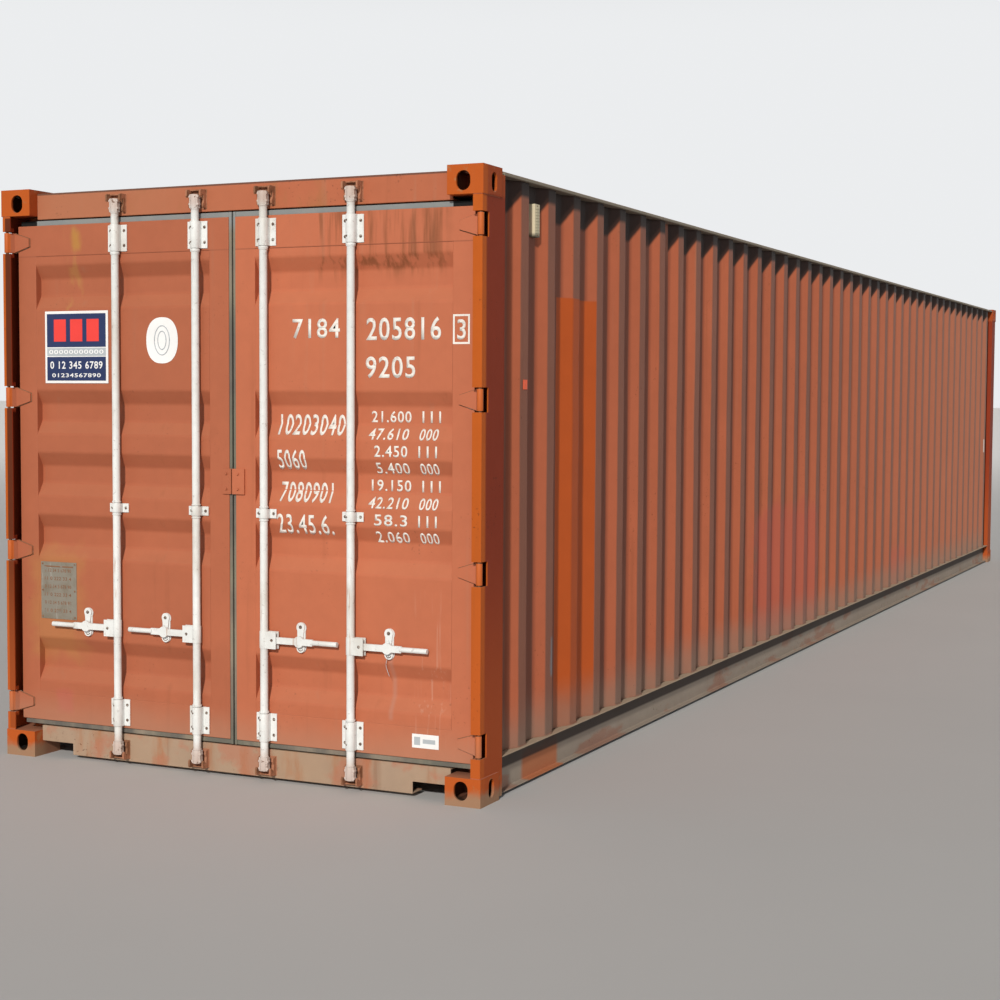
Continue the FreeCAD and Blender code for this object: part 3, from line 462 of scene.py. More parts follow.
def top_rail_paint():
    paint = Paint("top rail paint")
    # Painted shade: the rail is painted near black, as the shade under its flange; only its top edge is
    # lighter.
    shade, chips = worn(paint, TOP_RAIL_SHADE, rusting=0.5, streaking=0.5)
    edge = paint.rise(paint.z, 2.562, 2.568)
    shade = paint.blend(shade, TOP_RAIL_EDGE, edge * 0.75)
    return worn_finish(paint, shade, chips, strength=0.35)


def bottom_rail_paint():
    paint = Paint("dusty bottom rail paint")
    dusty = paint.blend(LOW_RAIL_GREY, LOW_RAIL_TAN, paint.cloud(1.3))
    shade, chips = worn(paint, dusty, rusting=0.8, streaking=0.6)
    bare = paint.rise(paint.cloud(2.2, (1, 1, 3), detail=5.0), 0.54, 0.62)
    shade = paint.blend(shade, LOW_RAIL_RED, bare * 0.45)
    fresh = paint.patch(x=(1.0, 1.3), y=(-5.58, -5.20), z=(0.0, 0.13), soft=0.02, wobble=0.03)
    shade = paint.blend(shade, LOW_RAIL_ORANGE, fresh * 0.8)
    ledge = paint.rise(paint.z, 0.166, 0.171)
    shade = paint.blend(shade, LOW_RAIL_LEDGE, ledge * 0.8)
    # Painted shadow: a dark band on the upper web, under the top flange.
    band = paint.band(paint.z, 0.103, 0.167, 0.006)
    shade = paint.blend(shade, LOW_RAIL_FLANGE_SHADOW, band * 0.9)
    # Painted shade: a dark line along the rail's bottom edge.
    lip = paint.fall(paint.z, 0.012, 0.016)
    shade = paint.blend(shade, LOW_RAIL_LIP_SHADE, lip * 0.8)
    return worn_finish(paint, shade, chips, roughness=0.72, strength=0.5)


def underside_paint():
    paint = Paint("underside coating")
    shade, chips = worn(paint, UNDERSIDE_BROWN, rusting=0.9, streaking=0.3)
    splash = paint.rise(paint.cloud(6.0, detail=6.0), 0.50, 0.68)
    shade = paint.blend(shade, ROAD_SPLASH, splash * 0.6)
    return worn_finish(paint, shade, chips, roughness=0.75, strength=0.5)


def gear_paint():
    paint = Paint("off-white gear paint")
    fine = paint.cloud(30.0, detail=5.0)
    shade = paint.toned(OFF_WHITE, 0.84 + fine * 0.24)
    dirty = paint.rise(paint.cloud(5.0, (1, 1, 0.35), detail=5.0), 0.48, 0.72)
    shade = paint.blend(shade, GEAR_DIRT, dirty * 0.5)
    ends = paint.fall(paint.z, 0.09, 0.17) + paint.rise(paint.z, 2.44, 2.50)
    shade = paint.blend(shade, GEAR_END_RUST, ends * 0.60)
    spots = paint.rise(paint.cloud(46.0, detail=6.0, rough=0.7), 0.60, 0.65)
    tails = paint.rise(paint.cloud(40.0, (1, 1, 0.10), detail=4.0), 0.62, 0.74)
    shade = paint.blend(shade, GEAR_RUST_TAIL, tails * 0.55)
    chips = spots * (0.28 + ends * 0.60)
    shade = paint.blend(shade, GEAR_CHIP, chips)
    return worn_finish(paint, shade, chips, roughness=0.45, strength=0.35)


def keeper_paint():
    paint = Paint("rusty keeper paint")
    shade, chips = worn(paint, KEEPER_RED, rusting=1.0, streaking=0.9)
    bare = paint.rise(paint.cloud(17.0, detail=6.0), 0.46, 0.60)
    shade = paint.blend(shade, KEEPER_RUST, bare * 0.85)
    return worn_finish(paint, shade, chips, roughness=0.75, strength=0.6)


def bare_steel():
    paint = Paint("rusty bare steel")
    brown = paint.blend(STEEL_BROWN, STEEL_TAN, paint.cloud(40.0, detail=6.0))
    shine = paint.rise(paint.cloud(22.0, detail=4.0), 0.58, 0.70)
    shade = paint.blend(brown, STEEL_SHINE, shine * 0.7)
    return paint.done(shade, 0.75 - shine * 0.35, paint.cloud(120.0), metallic=shine * 0.8, strength=0.5)


def pin_rust():
    paint = Paint("rusty pin heads")
    flecks = paint.rise(paint.cloud(90.0, detail=4.0), 0.52, 0.62)
    shade = paint.blend(PIN_BROWN, PIN_WORN, flecks * 0.7)
    return paint.done(shade, 0.7, paint.cloud(150.0), strength=0.4)


def seal_rubber():
    paint = Paint("dusty door rubber")
    dusty = paint.rise(paint.cloud(8.0, (1, 1, 0.3), detail=5.0), 0.35, 0.70)
    shade = paint.blend(RUBBER_DARK, RUBBER_DUST, dusty * 0.85)
    green = paint.rise(paint.cloud(3.0), 0.45, 0.65)
    shade = paint.blend(shade, RUBBER_MOSS, green * 0.35)
    head = paint.rise(paint.z, 2.35, 2.42)
    shade = paint.blend(shade, RUBBER_TOP, head * 0.7)
    black = paint.rise(abs(paint.x), 1.056, 1.062) * head
    shade = paint.blend(shade, RUBBER_SHADOW, black)
    return paint.done(shade, 0.8, paint.cloud(60.0), strength=0.3)


def plywood():
    paint = Paint("worn floor boards")
    grain = paint.cloud(26.0, (1, 0.06, 1), detail=5.0)
    shade = paint.blend(BOARD_PALE, BOARD_DARK, grain)
    tracks = paint.rise(paint.cloud(4.0, (1, 0.12, 1), detail=5.0), 0.50, 0.68)
    shade = paint.blend(shade, BOARD_TRACKS, tracks * 0.6)
    across = abs((paint.y % 1.22) - 0.61)
    joint = paint.rise(across, 0.606, 0.609)
    middle = paint.fall(abs(paint.x), 0.003, 0.006)
    lines = joint + middle
    shade = paint.blend(shade, BOARD_JOINT, lines)
    along = abs((paint.y % 0.40) - 0.20)
    aside = abs((paint.x % 0.145) - 0.0725)
    screw = paint.fall(along, 0.004, 0.006) * paint.fall(aside, 0.004, 0.006)
    shade = paint.blend(shade, BOARD_SCREW, screw)
    return paint.done(shade, 0.62 + grain * 0.2, grain * 0.4 - lines - screw, strength=0.5)


def vent_plastic():
    paint = Paint("cream vent plastic")
    grime = paint.rise(paint.cloud(22.0, (1, 1, 0.3), detail=5.0), 0.50, 0.75)
    shade = paint.blend(VENT_CREAM, VENT_GRIME, grime * 0.6)
    # Painted shade: the hood's foot is painted near black, for the dark opening under it.
    foot = paint.fall(paint.z, 2.352, 2.372)
    shade = paint.blend(shade, VENT_FOOT_SHADE, foot * 0.9)
    return paint.done(shade, 0.5, paint.cloud(80.0), strength=0.2)


def plate_metal():
    paint = Paint("dull data plate metal")
    smear = paint.rise(paint.cloud(13.0, detail=6.0), 0.45, 0.70)
    shade = paint.blend(PLATE_GREY, PLATE_STAIN, smear * 0.6)
    scratch = paint.rise(paint.cloud(60.0, (1, 1, 0.15), detail=3.0), 0.60, 0.68)
    shade = paint.blend(shade, PLATE_SCRATCH, scratch * 0.5)
    return paint.done(shade, 0.50 + smear * 0.2, paint.cloud(90.0), metallic=0.35, strength=0.3)


def sign_paint(name, colour, grime=0.25):
    """Sun-faded printed film or stencil paint of one colour, with small flakes missing."""
    paint = Paint(name)
    faded = paint.toned(colour, 0.86 + paint.cloud(7.0, detail=4.0) * 0.26)
    spots = paint.rise(paint.cloud(75.0, detail=5.0), 0.60, 0.68)
    shade = paint.blend(faded, SIGN_FLAKE, spots * grime)
    return paint.done(shade, 0.5 + spots * 0.2, paint.cloud(110.0), strength=0.12)


def weld_paint():
    paint = Paint("painted weld bead")
    shade, chips = worn(paint, WELD_RED, rusting=0.9, streaking=0.4)
    return worn_finish(paint, shade, chips, roughness=0.6, strength=0.7)


BODY = body_paint()
DOOR = door_paint()
POSTS = frame_paint()
HEADER = header_paint()
SILL = sill_paint()
TOP_RAIL = top_rail_paint()
LOW_RAIL = bottom_rail_paint()
UNDERSIDE = underside_paint()
GEAR = gear_paint()
KEEPER = keeper_paint()
STEEL = bare_steel()
RUBBER = seal_rubber()
BOARDS = plywood()
VENT = vent_plastic()
PLATE = plate_metal()
WELD = weld_paint()
PIN_RUST = pin_rust()
WHITE_MARK = sign_paint("white stencil paint", (0.80, 0.77, 0.72), 0.55)
SIGN_WHITE = sign_paint("white sign film", (0.84, 0.84, 0.84), 0.05)
SIGN_NAVY = sign_paint("navy sign film", (0.020, 0.035, 0.110), 0.05)
SIGN_RED = sign_paint("red sign film", (0.780, 0.055, 0.045), 0.05)
SIGN_GREY = sign_paint("grey sign film", (0.430, 0.470, 0.500), 0.05)
TAG_RED = sign_paint("red-orange tag film", (1.000, 0.140, 0.050), 0.05)


# ------------------------------------------------------------- shape helpers

def piece(name, shape, body, material, stands_for=()):
    """Makes an object from a built shape and lets it move with its part of the container."""
    mesh = bpy.data.meshes.new(name)
    shape.normal_update()
    shape.to_mesh(mesh)
    shape.free()
    mesh.materials.append(material)
    made = bpy.data.objects.new(name, mesh)
    bpy.context.scene.collection.objects.link(made)
    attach(made, body)
    if stands_for:
        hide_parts(*stands_for)
    return made


def coat(material, *names):
    for name in names:
        mesh = nodes[name].data
        mesh.materials.clear()
        mesh.materials.append(material)


def soften(width, *names):
    """Rounds the edges of pieces kept from the construction model."""
    for name in names:
        weld = nodes[name].modifiers.new("joined corners", "WELD")
        weld.merge_threshold = 0.00005
        edge = nodes[name].modifiers.new("rounded edges", "BEVEL")
        edge.width = width
        edge.segments = 2
        edge.limit_method = "ANGLE"
        edge.angle_limit = math.radians(32)


def slab(shape, low, high, edge=0.0):
    """A block between two corners with its edges rounded off."""
    low, high = Vector(low), Vector(high)
    centre = (low + high) / 2
    place = Matrix.Translation(centre) @ Matrix.Diagonal((*(high - low), 1.0))
    made = bmesh.ops.create_cube(shape, size=1.0, matrix=place)
    if edge:
        edges = list({e for v in made["verts"] for e in v.link_edges})
        bmesh.ops.bevel(shape, geom=edges, offset=edge, segments=2, affect="EDGES", profile=0.5)


def skinned(shape, rings, sides):
    """Joins a row of rings into a closed smooth tube with flat ends."""
    for lower, upper in zip(rings, rings[1:]):
        for i in range(sides):
            j = (i + 1) % sides
            face = shape.faces.new((lower[i], lower[j], upper[j], upper[i]))
            face.smooth = True
    shape.faces.new(list(reversed(rings[0])))
    shape.faces.new(rings[-1])


def turned(shape, base, axis, outline, sides=20):
    """A part turned on a lathe: outline is a row of (radius, height along the axis)."""
    spin = Vector((0, 0, 1)).rotation_difference(Vector(axis)).to_matrix()
    rings = []
    for radius, height in outline:
        ring = []
        for i in range(sides):
            angle = 2 * math.pi * i / sides
            spot = Vector((radius * math.cos(angle), radius * math.sin(angle), height))
            ring.append(shape.verts.new(Vector(base) + spin @ spot))
        rings.append(ring)
    skinned(shape, rings, sides)


def rivet(shape, base, axis, radius, sides=14):
    tall = radius * 0.62
    turned(shape, base, axis, [(radius, 0), (radius * 0.96, tall * 0.35), (radius * 0.78, tall * 0.72),
                               (radius * 0.42, tall * 0.95), (radius * 0.06, tall)], sides)


def bolt(shape, base, axis, across, tall):
    """A six-sided head over a round washer."""
    axis = Vector(axis)
    turned(shape, base, axis, [(across * 0.86, 0), (across * 0.86, tall * 0.25)], 20)
    foot = Vector(base) + axis * tall * 0.25
    head = [(across * 0.58, 0), (across * 0.58, tall * 0.62), (across * 0.46, tall * 0.75)]
    turned(shape, foot, axis, head, 6)


def cord_tube(shape, points, radius, wobble=0.0, sides=8):
    """A round bead or wire along a row of points."""
    rings = []
    for i, point in enumerate(points):
        ahead = Vector(points[min(i + 1, len(points) - 1)]) - Vector(points[max(i - 1, 0)])
        spin = Vector((0, 0, 1)).rotation_difference(ahead.normalized()).to_matrix()
        size = radius * (1 + wobble * math.sin(i * 2.4))
        ring = []
        for k in range(sides):
            angle = 2 * math.pi * k / sides
            spot = Vector((size * math.cos(angle), size * math.sin(angle), 0))
            ring.append(shape.verts.new(Vector(point) + spin @ spot))
        rings.append(ring)
    skinned(shape, rings, sides)


def straight(start, end, step):
    start, end = Vector(start), Vector(end)
    count = max(2, int((end - start).length / step))
    return [start.lerp(end, i / count) for i in range(count + 1)]


def rounded(corners, radius, arc=4):
    """A bent line with each inner corner turned through a small arc."""
    line = [Vector(corners[0])]
    for before, corner, after in zip(corners, corners[1:], corners[2:]):
        before, corner, after = Vector(before), Vector(corner), Vector(after)
        reach = min(radius, (corner - before).length * 0.45, (after - corner).length * 0.45)
        start = corner + (before - corner).normalized() * reach
        end = corner + (after - corner).normalized() * reach
        for i in range(arc + 1):
            share = i / arc
            line.append(start.lerp(corner, share).lerp(corner.lerp(end, share), share))
    line.append(Vector(corners[-1]))
    return line


def pressed(shape, line, rows, place, dent=0.0):
    """A pressed sheet: a bent line repeated over rows, each point set by place(along, row, depth)."""
    grid = []
    for row in rows:
        made = []
        for along, depth in line:
            spot = Vector((along * 1.7, row * 1.1, 3.0))
            push = (noise.noise(spot) + 0.6 * noise.noise(spot * 3.1)) * dent
            made.append(shape.verts.new(place(along, row, depth - abs(push))))
        grid.append(made)
    for lower, upper in zip(grid, grid[1:]):
        for i in range(len(line) - 1):
            face = shape.faces.new((lower[i], lower[i + 1], upper[i + 1], upper[i]))
            face.smooth = True


def thickened(made, inward_first=True):
    """Gives a pressed sheet its steel thickness, behind its outer face, with crisp bends."""
    steel = made.modifiers.new("sheet steel", "SOLIDIFY")
    steel.thickness = SHEET
    steel.offset = -1.0 if inward_first else 1.0
    shading = made.modifiers.new("even shading", "WEIGHTED_NORMAL")
    shading.weight = 90


def spread(low, high, count):
    return [low + (high - low) * i / count for i in range(count + 1)]


def rib_corners(start, margin, slope, flat, valley, count, end, deep):
    corners = [(start, -deep)]
    at = start + margin
    for _ in range(count):
        corners.append((at, -deep))
        corners.append((at + slope, 0.0))
        corners.append((at + slope + flat, 0.0))
        corners.append((at + 2 * slope + flat, -deep))
        at += 2 * slope + flat + valley
    corners.append((end, -deep))
    return corners


def first_valley(low, high, slope, flat, valley, count):
    """The plain strip before the first rib, so that the ribs stand centred."""
    return (high - low - count * (2 * slope + flat + valley) + valley) / 2


# ------------------------------------------------------------- pressed walls

def side_wall(side, node):
    low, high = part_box(node)
    corners = rib_corners(low.y, *WALL_RIBS, high.y, RIB_DEEP)
    line = rounded(corners, 0.008, 3)
    shape = bmesh.new()
    levels = spread(low.z, high.z, 20)
    pressed(shape, line, levels, lambda y, z, d: Vector((side * (SIDE_FACE + d), y, z)), 0.0035)
    made = piece(f"pressed_{node}", shape, "container_frame", BODY, (node,))
    thickened(made, side > 0)


def end_wall():
    low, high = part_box("closed_end_wall")
    margin = first_valley(low.x, high.x, *END_RIBS)
    line = rounded(rib_corners(low.x, margin, *END_RIBS, high.x, 0.044), 0.010, 3)
    shape = bmesh.new()
    levels = spread(low.z, high.z, 16)
    pressed(shape, line, levels, lambda x, z, d: Vector((x, high.y + d, z)), 0.003)
    made = piece("pressed_end_wall", shape, "container_frame", BODY,
                 ("closed_end_wall",))
    thickened(made, False)


def roof():
    """The ribbed roof sheet, flattened at each side and stepped down to a lip on the rail."""
    low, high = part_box("roof_panel")
    margin = first_valley(low.y, high.y, *ROOF_RIBS)
    line = rounded(rib_corners(low.y, margin, *ROOF_RIBS, high.y, 0.018), 0.006, 2)
    half = [(x, high.z, 1.0) for x in spread(0.08, 1.09, 7)]
    half += [(1.133, high.z, 0.25), (1.1345, 2.5826, 0.0), (high.x, 2.5825, 0.0)]
    rows = [(-x, z, deep) for x, z, deep in reversed(half)] + half

    def place(y, row, depth):
        x, level, share = rows[int(row)]
        return Vector((x, y, level + depth * share))

    shape = bmesh.new()
    pressed(shape, line, range(len(rows)), place, 0.003)
    made = piece("pressed_roof_panel", shape, "container_frame", BODY, ("roof_panel",))
    thickened(made, False)


# ------------------------------------------------------------- doors

def door_line():
    """The door sheet's face as (height, depth) corners."""
    low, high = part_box("door_right_panel")
    corners = [(low.z, 0.0)]
    for middle in RECESSES:
        corners.append((middle - RECESS_REACH, 0.0))
        corners.append((middle - RECESS_FLAT, -RECESS_DEEP))
        corners.append((middle + RECESS_FLAT, -RECESS_DEEP))
        corners.append((middle + RECESS_REACH, 0.0))
    corners.append((high.z, 0.0))
    return corners


def door_depth(level):
    """How far the door sheet's face lies behind its flats at a height."""
    deepest = 0.0
    for middle in RECESSES:
        inside = (RECESS_REACH - abs(level - middle)) / (RECESS_REACH - RECESS_FLAT)
        share = max(0.0, min(1.0, inside))
        deepest = max(deepest, RECESS_DEEP * share)
    return deepest


def door_sheet(hand):
    node = f"door_{hand}_panel"
    low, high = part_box(node)
    line = rounded(door_line(), 0.009, 4)
    shape = bmesh.new()
    columns = spread(low.x, high.x, 14)
    pressed(shape, line, columns, lambda z, x, d: Vector((x, DOOR_FACE - d, z)), 0.002)
    made = piece(f"pressed_{hand}_door_sheet", shape, f"{hand}_door", DOOR, (node,))
    thickened(made, False)


def on_door(shape, offset=0.0008):
    """Cuts flat lettering at the door's bends and lays it on the door's face."""
    bends = []
    for middle in RECESSES:
        bends += [middle + out for out in (-RECESS_REACH, -RECESS_FLAT, RECESS_FLAT, RECESS_REACH)]
    for level in bends:
        everything = shape.verts[:] + shape.edges[:] + shape.faces[:]
        bmesh.ops.bisect_plane(shape, geom=everything, plane_co=(0, 0, level), plane_no=(0, 0, 1))
    for vert in shape.verts:
        vert.co.y = DOOR_FACE + door_depth(vert.co.z) - offset


def digits(text, left, right, bottom, top):
    """Plain upright digits as a flat shape in the door's plane."""
    curve = bpy.data.curves.new("digit outline", "FONT")
    curve.body = text
    curve.resolution_u = 4
    curve.space_character = 1.12
    curve.offset = 0.014
    outline = bpy.data.objects.new("digit outline", curve)
    bpy.context.scene.collection.objects.link(outline)
    bpy.context.view_layer.update()
    flat = outline.evaluated_get(bpy.context.evaluated_depsgraph_get()).to_mesh()
    shape = bmesh.new()
    shape.from_mesh(flat)
    bpy.data.objects.remove(outline)
    bpy.data.curves.remove(curve)
    xs = [v.co.x for v in shape.verts]
    ys = [v.co.y for v in shape.verts]
    for vert in shape.verts:
        across = (vert.co.x - min(xs)) / (max(xs) - min(xs))
        up = (vert.co.y - min(ys)) / (max(ys) - min(ys))
        vert.co = (left + across * (right - left), DOOR_FACE, bottom + up * (top - bottom))
    return shape


def merged(shape, other):
    mesh = bpy.data.meshes.new("part of a shape")
    other.to_mesh(mesh)
    other.free()
    shape.from_mesh(mesh)
    bpy.data.meshes.remove(mesh)


def ring_box(shape, left, right, bottom, top, wide):
    """A thin square frame drawn round a digit."""
    inner_low, inner_high = bottom + wide, top - wide
    slots = ((left, right, inner_high, top), (left, right, bottom, inner_low),
             (left, left + wide, inner_low, inner_high), (right - wide, right, inner_low, inner_high))
    for x0, x1, z0, z1 in slots:
        spots = ((x0, z0), (x1, z0), (x1, z1), (x0, z1))
        shape.faces.new([shape.verts.new((x, DOOR_FACE, z)) for x, z in spots])


def door_numbers():
    shape = bmesh.new()
    rows = [("7184", 0.305, 0.536, 1.907, 1.990), ("205816", 0.663, 1.010, 1.896, 1.990),
            ("3", 1.083, 1.122, 1.896, 1.978), ("9205", 0.660, 0.892, 1.740, 1.830)]
    rows += [("10203040", 0.225, 0.545, 1.500, 1.588), ("5060", 0.225, 0.366, 1.352, 1.438),
             ("7080901", 0.230, 0.485, 1.214, 1.300), ("23.45.6.", 0.225, 0.500, 1.078, 1.164)]
    values = ("21.600", "47.610", "2.450", "5.400", "19.150", "42.210", "58.3", "2.060")
    for i, text in enumerate(values):
        top = 1.605 - i * 0.0715
        rows.append((text, 0.669 if len(text) > 5 else 0.700, 0.856, top - 0.048, top))
        rows.append(("000" if i % 2 else "111", 0.907, 0.993, top - 0.048, top))
    for text, left, right, bottom, top in rows:
        merged(shape, digits(text, left, right, bottom, top))
    ring_box(shape, 1.064, 1.140, 1.878, 1.998, 0.008)
    on_door(shape)
    made = piece("white_door_numbers", shape, "right_door", WHITE_MARK)
    skin = made.modifiers.new("paint thickness", "SOLIDIFY")
    skin.thickness = 0.0005


def sign_fields():
    """A plain company-free sign on the left door, with coloured fields and plain digits."""
    left, right, bottom, top = -1.010, -0.657, 1.717, 2.042
    rim = 0.012
    face = DOOR_FACE
    shape = bmesh.new()
    slab(shape, (left, face - 0.004, bottom), (right, face - 0.0006, top), 0.0012)
    piece("sign_backing", shape, "left_door", SIGN_WHITE)
    shape = bmesh.new()
    for low, high in ((1.880, top - rim), (bottom + rim, 1.836)):
        slab(shape, (left + rim, face - 0.0052, low), (right - rim, face - 0.0038, high), 0.0003)
    piece("sign_navy_fields", shape, "left_door", SIGN_NAVY)
    shape = bmesh.new()
    slab(shape, (left + rim, face - 0.0050, 1.840), (right - rim, face - 0.0038, 1.876), 0.0003)
    piece("sign_grey_band", shape, "left_door", SIGN_GREY)
    shape = bmesh.new()
    for i in range(3):
        start = left + 0.052 + i * 0.092
        slab(shape, (start, face - 0.0062, 1.905), (start + 0.068, face - 0.0048, 2.005), 0.0005)
    piece("sign_red_blocks", shape, "left_door", SIGN_RED)
    shape = digits("0 12 345 6789", left + 0.030, right - 0.030, 1.782, 1.816)
    merged(shape, digits("01234567890", left + 0.040, right - 0.040, 1.744, 1.762))
    merged(shape, digits("00000000000", left + 0.024, right - 0.024, 1.849, 1.868))
    for vert in shape.verts:
        vert.co.y = face - 0.0056
    piece("sign_white_digits", shape, "left_door", SIGN_WHITE)


def oval_mark():
    shape = bmesh.new()
    outer = []
    for i in range(48):
        angle = 2 * math.pi * i / 48
        x = -0.366 + 0.084 * math.copysign(abs(math.cos(angle)) ** 0.8, math.cos(angle))
        z = 1.906 + 0.101 * math.copysign(abs(math.sin(angle)) ** 0.9, math.sin(angle))
        outer.append(shape.verts.new((x, DOOR_FACE - 0.0012, z)))
    shape.faces.new(outer)
    piece("white_oval_mark", shape, "left_door", SIGN_WHITE)
    shape = bmesh.new()
    for x, z, wide, tall in ((-0.366, 1.906, 0.040, 0.064), (-0.366, 1.906, 0.022, 0.040)):
        points = []
        for i in range(37):
            angle = 2 * math.pi * i / 36
            points.append((x + wide * math.cos(angle), DOOR_FACE - 0.0016, z + tall * math.sin(angle)))
        cord_tube(shape, points, 0.0022, sides=6)
    piece("oval_mark_rings", shape, "left_door", SIGN_GREY)


def label_mark():
    shape = bmesh.new()
    slab(shape, (0.882, DOOR_FACE - 0.0016, 0.214), (1.006, DOOR_FACE - 0.0004, 0.272), 0.0004)
    piece("white_label", shape, "right_door", SIGN_WHITE)
    shape = bmesh.new()
    slab(shape, (0.892, DOOR_FACE - 0.0022, 0.226), (0.920, DOOR_FACE - 0.0014, 0.260), 0.0003)
    slab(shape, (0.932, DOOR_FACE - 0.0022, 0.234), (0.990, DOOR_FACE - 0.0014, 0.252), 0.0003)
    piece("label_fields", shape, "right_door", SIGN_GREY)


def data_plate_details():
    """Corner rivets and raised lines of plain digits on the data plate."""
    low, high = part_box("door_left_data_plate")
    shape = bmesh.new()
    for x in (low.x + 0.010, high.x - 0.010):
        for z in (low.z + 0.010, (low.z + high.z) / 2, high.z - 0.010):
            rivet(shape, (x, low.y, z), (0, -1, 0), 0.0045, 12)
    for i in range(6):
        bottom = low.z + 0.030 + i * 0.037
        line = digits("0 12 34 5 678 90" if i % 2 else "11 0 222 33 4", low.x + 0.022, high.x - 0.030,
                      bottom, bottom + 0.016)
        for vert in line.verts:
            vert.co.y = low.y - 0.0006
        merged(shape, line)
    ends = (low.x + 0.02, high.x - 0.02)
    slab(shape, (ends[0], low.y - 0.0014, high.z - 0.024), (ends[1], low.y, high.z - 0.018), 0.0004)
    piece("data_plate_rivets", shape, "left_door", STEEL)


# ------------------------------------------------------------- locking gear details

def bracket_details(hand, bars):
    """Rivets and weld beads of the bar guides on one door."""
    face = -6.055
    rivets = bmesh.new()
    beads = bmesh.new()
    for bar in bars:
        for bottom, top in BRACKETS:
            tall = top - bottom
            levels = (bottom + tall / 2,) if tall < 0.06 else (bottom + 0.026, top - 0.026)
            for level in levels:
                for out in (-0.037, 0.037):
                    rivet(rivets, (bar + out, face + 0.0004, level), (0, -1, 0), 0.0070)
                slant = Vector((-0.42, -0.907, 0.0))
                foot = Vector((bar, BAR_Y, level)) + slant * 0.0212
                rivet(rivets, foot, slant, 0.0046, 12)
            for out in (-0.051, 0.051):
                start = (bar + out, DOOR_FACE, bottom + 0.006)
                end = (bar + out, DOOR_FACE, top - 0.006)
                cord_tube(beads, straight(start, end, 0.007), 0.0028, 0.30, 6)
    piece(f"{hand}_guide_rivets", rivets, f"{hand}_door", PIN_RUST)
    piece(f"{hand}_guide_welds", beads, f"{hand}_door", DOOR)


def bar_details(number, place):
    """Welded collars and the toothed cams at both ends of one lock bar."""
    shape = bmesh.new()
    holes = bmesh.new()
    for level, rise in BAR_ENDS:
        base = (place, BAR_Y, level + rise * 0.058)
        turned(shape, base, (0, 0, rise), [(0.0192, 0), (0.0190, 0.004), (0.0172, 0.007)], 24)
        for start in (0.004, 0.036):
            low, high = sorted((level + rise * start, level + rise * (start + 0.011)))
            first, last = (place - 0.025, BAR_Y - 0.0125, low), (place + 0.025, BAR_Y + 0.009, high)
            slab(shape, first, last, 0.0028)
        for step, out in ((0.024, -0.007), (0.027, 0.009)):
            spot = (place + out, BAR_Y - 0.0108, level + rise * step)
            turned(holes, spot, (0, -1, 0), [(0.0044, 0), (0.0040, 0.0008)], 14)
    for level in (0.303, 1.130, 1.186, 2.283):
        outline = [(0.0174, 0), (0.0200, 0.0015), (0.0200, 0.0062), (0.0174, 0.008)]
        turned(shape, (place, BAR_Y, level), (0, 0, 1), outline, 24)
    hand = math.copysign(1, place)
    rivet(holes, (place + hand * HUB_OUT, BAR_Y - 0.0138, HUB_Z), (0, -1, 0), 0.0066, 16)
    piece(f"lock_bar_{number}_collars_and_cams", shape, f"bar_{number}", GEAR)
    piece(f"lock_bar_{number}_pin_heads", holes, f"bar_{number}", PIN_RUST)


def plate(shape, outline, front, back, edge=0.0008):
    """A flat plate of any outline in the door's plane, given as (x, z) points."""
    nearer = [shape.verts.new((x, front, z)) for x, z in outline]
    further = [shape.verts.new((x, back, z)) for x, z in outline]
    faces = [shape.faces.new(nearer), shape.faces.new(list(reversed(further)))]
    count = len(outline)
    for i in range(count):
        j = (i + 1) % count
        faces.append(shape.faces.new((nearer[j], nearer[i], further[i], further[j])))
    bmesh.ops.recalc_face_normals(shape, faces=faces)
    rim = [e for e in faces[0].edges]
    bmesh.ops.bevel(shape, geom=rim, offset=edge, segments=2, affect="EDGES", profile=0.5)


def lobed(middle, bottom, top, wide, waist):
    """An outline with a round lobe at each end and a narrower waist between."""
    points = []
    for i in range(19):
        angle = math.pi * (-0.18 + 1.36 * i / 18)
        points.append((middle + wide * math.cos(angle), top - wide + wide * math.sin(angle)))
    if waist < wide:
        points.append((middle - waist, (bottom + top) / 2))
    for i in range(19):
        angle = math.pi * (0.82 + 1.36 * i / 18)
        points.append((middle + wide * math.cos(angle), bottom + wide + wide * math.sin(angle)))
    if waist < wide:
        points.append((middle + waist, (bottom + top) / 2))
    return points


def catch_details(number):
    """One handle catch with round lobes, its pivot ring and the crescent on its lower lobe."""
    node = f"handle_catch_{number}"
    low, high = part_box(node)
    middle = (low.x + high.x) / 2
    shape = bmesh.new()
    plate(shape, lobed(middle, low.z, high.z, (high.x - low.x) / 2, 0.0125), low.y, high.y)
    piece(f"lobed_{node}", shape, f"catch_{number}", GEAR, (node,))
    shape = bmesh.new()
    rivet(shape, (middle, low.y + 0.0004, CATCH_Z), (0, -1, 0), 0.0078, 18)
    arc = []
    for i in range(13):
        angle = math.pi * (1.12 + 0.76 * i / 12)
        across, up = 0.0125 * math.cos(angle), 0.0125 * math.sin(angle)
        arc.append((middle + across, low.y, low.z + 0.021 + up))
    cord_tube(shape, arc, 0.0019, sides=6)
    piece(f"catch_{number}_rivet", shape, f"catch_{number}", PIN_RUST)


def handle_rests(hand, bars):
    """Round-ended plates behind the handle catches of one door."""
    node = f"door_{hand}_handle_rests"
    low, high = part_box(node)
    shape = bmesh.new()
    side = math.copysign(1, bars[0])
    for bar in bars:
        middle = bar + side * 0.175
        plate(shape, lobed(middle, low.z, high.z, 0.024, 0.024), high.y - 0.005, high.y)
    piece(f"round_ended_{hand}_handle_rests", shape, f"{hand}_door", GEAR, (node,))


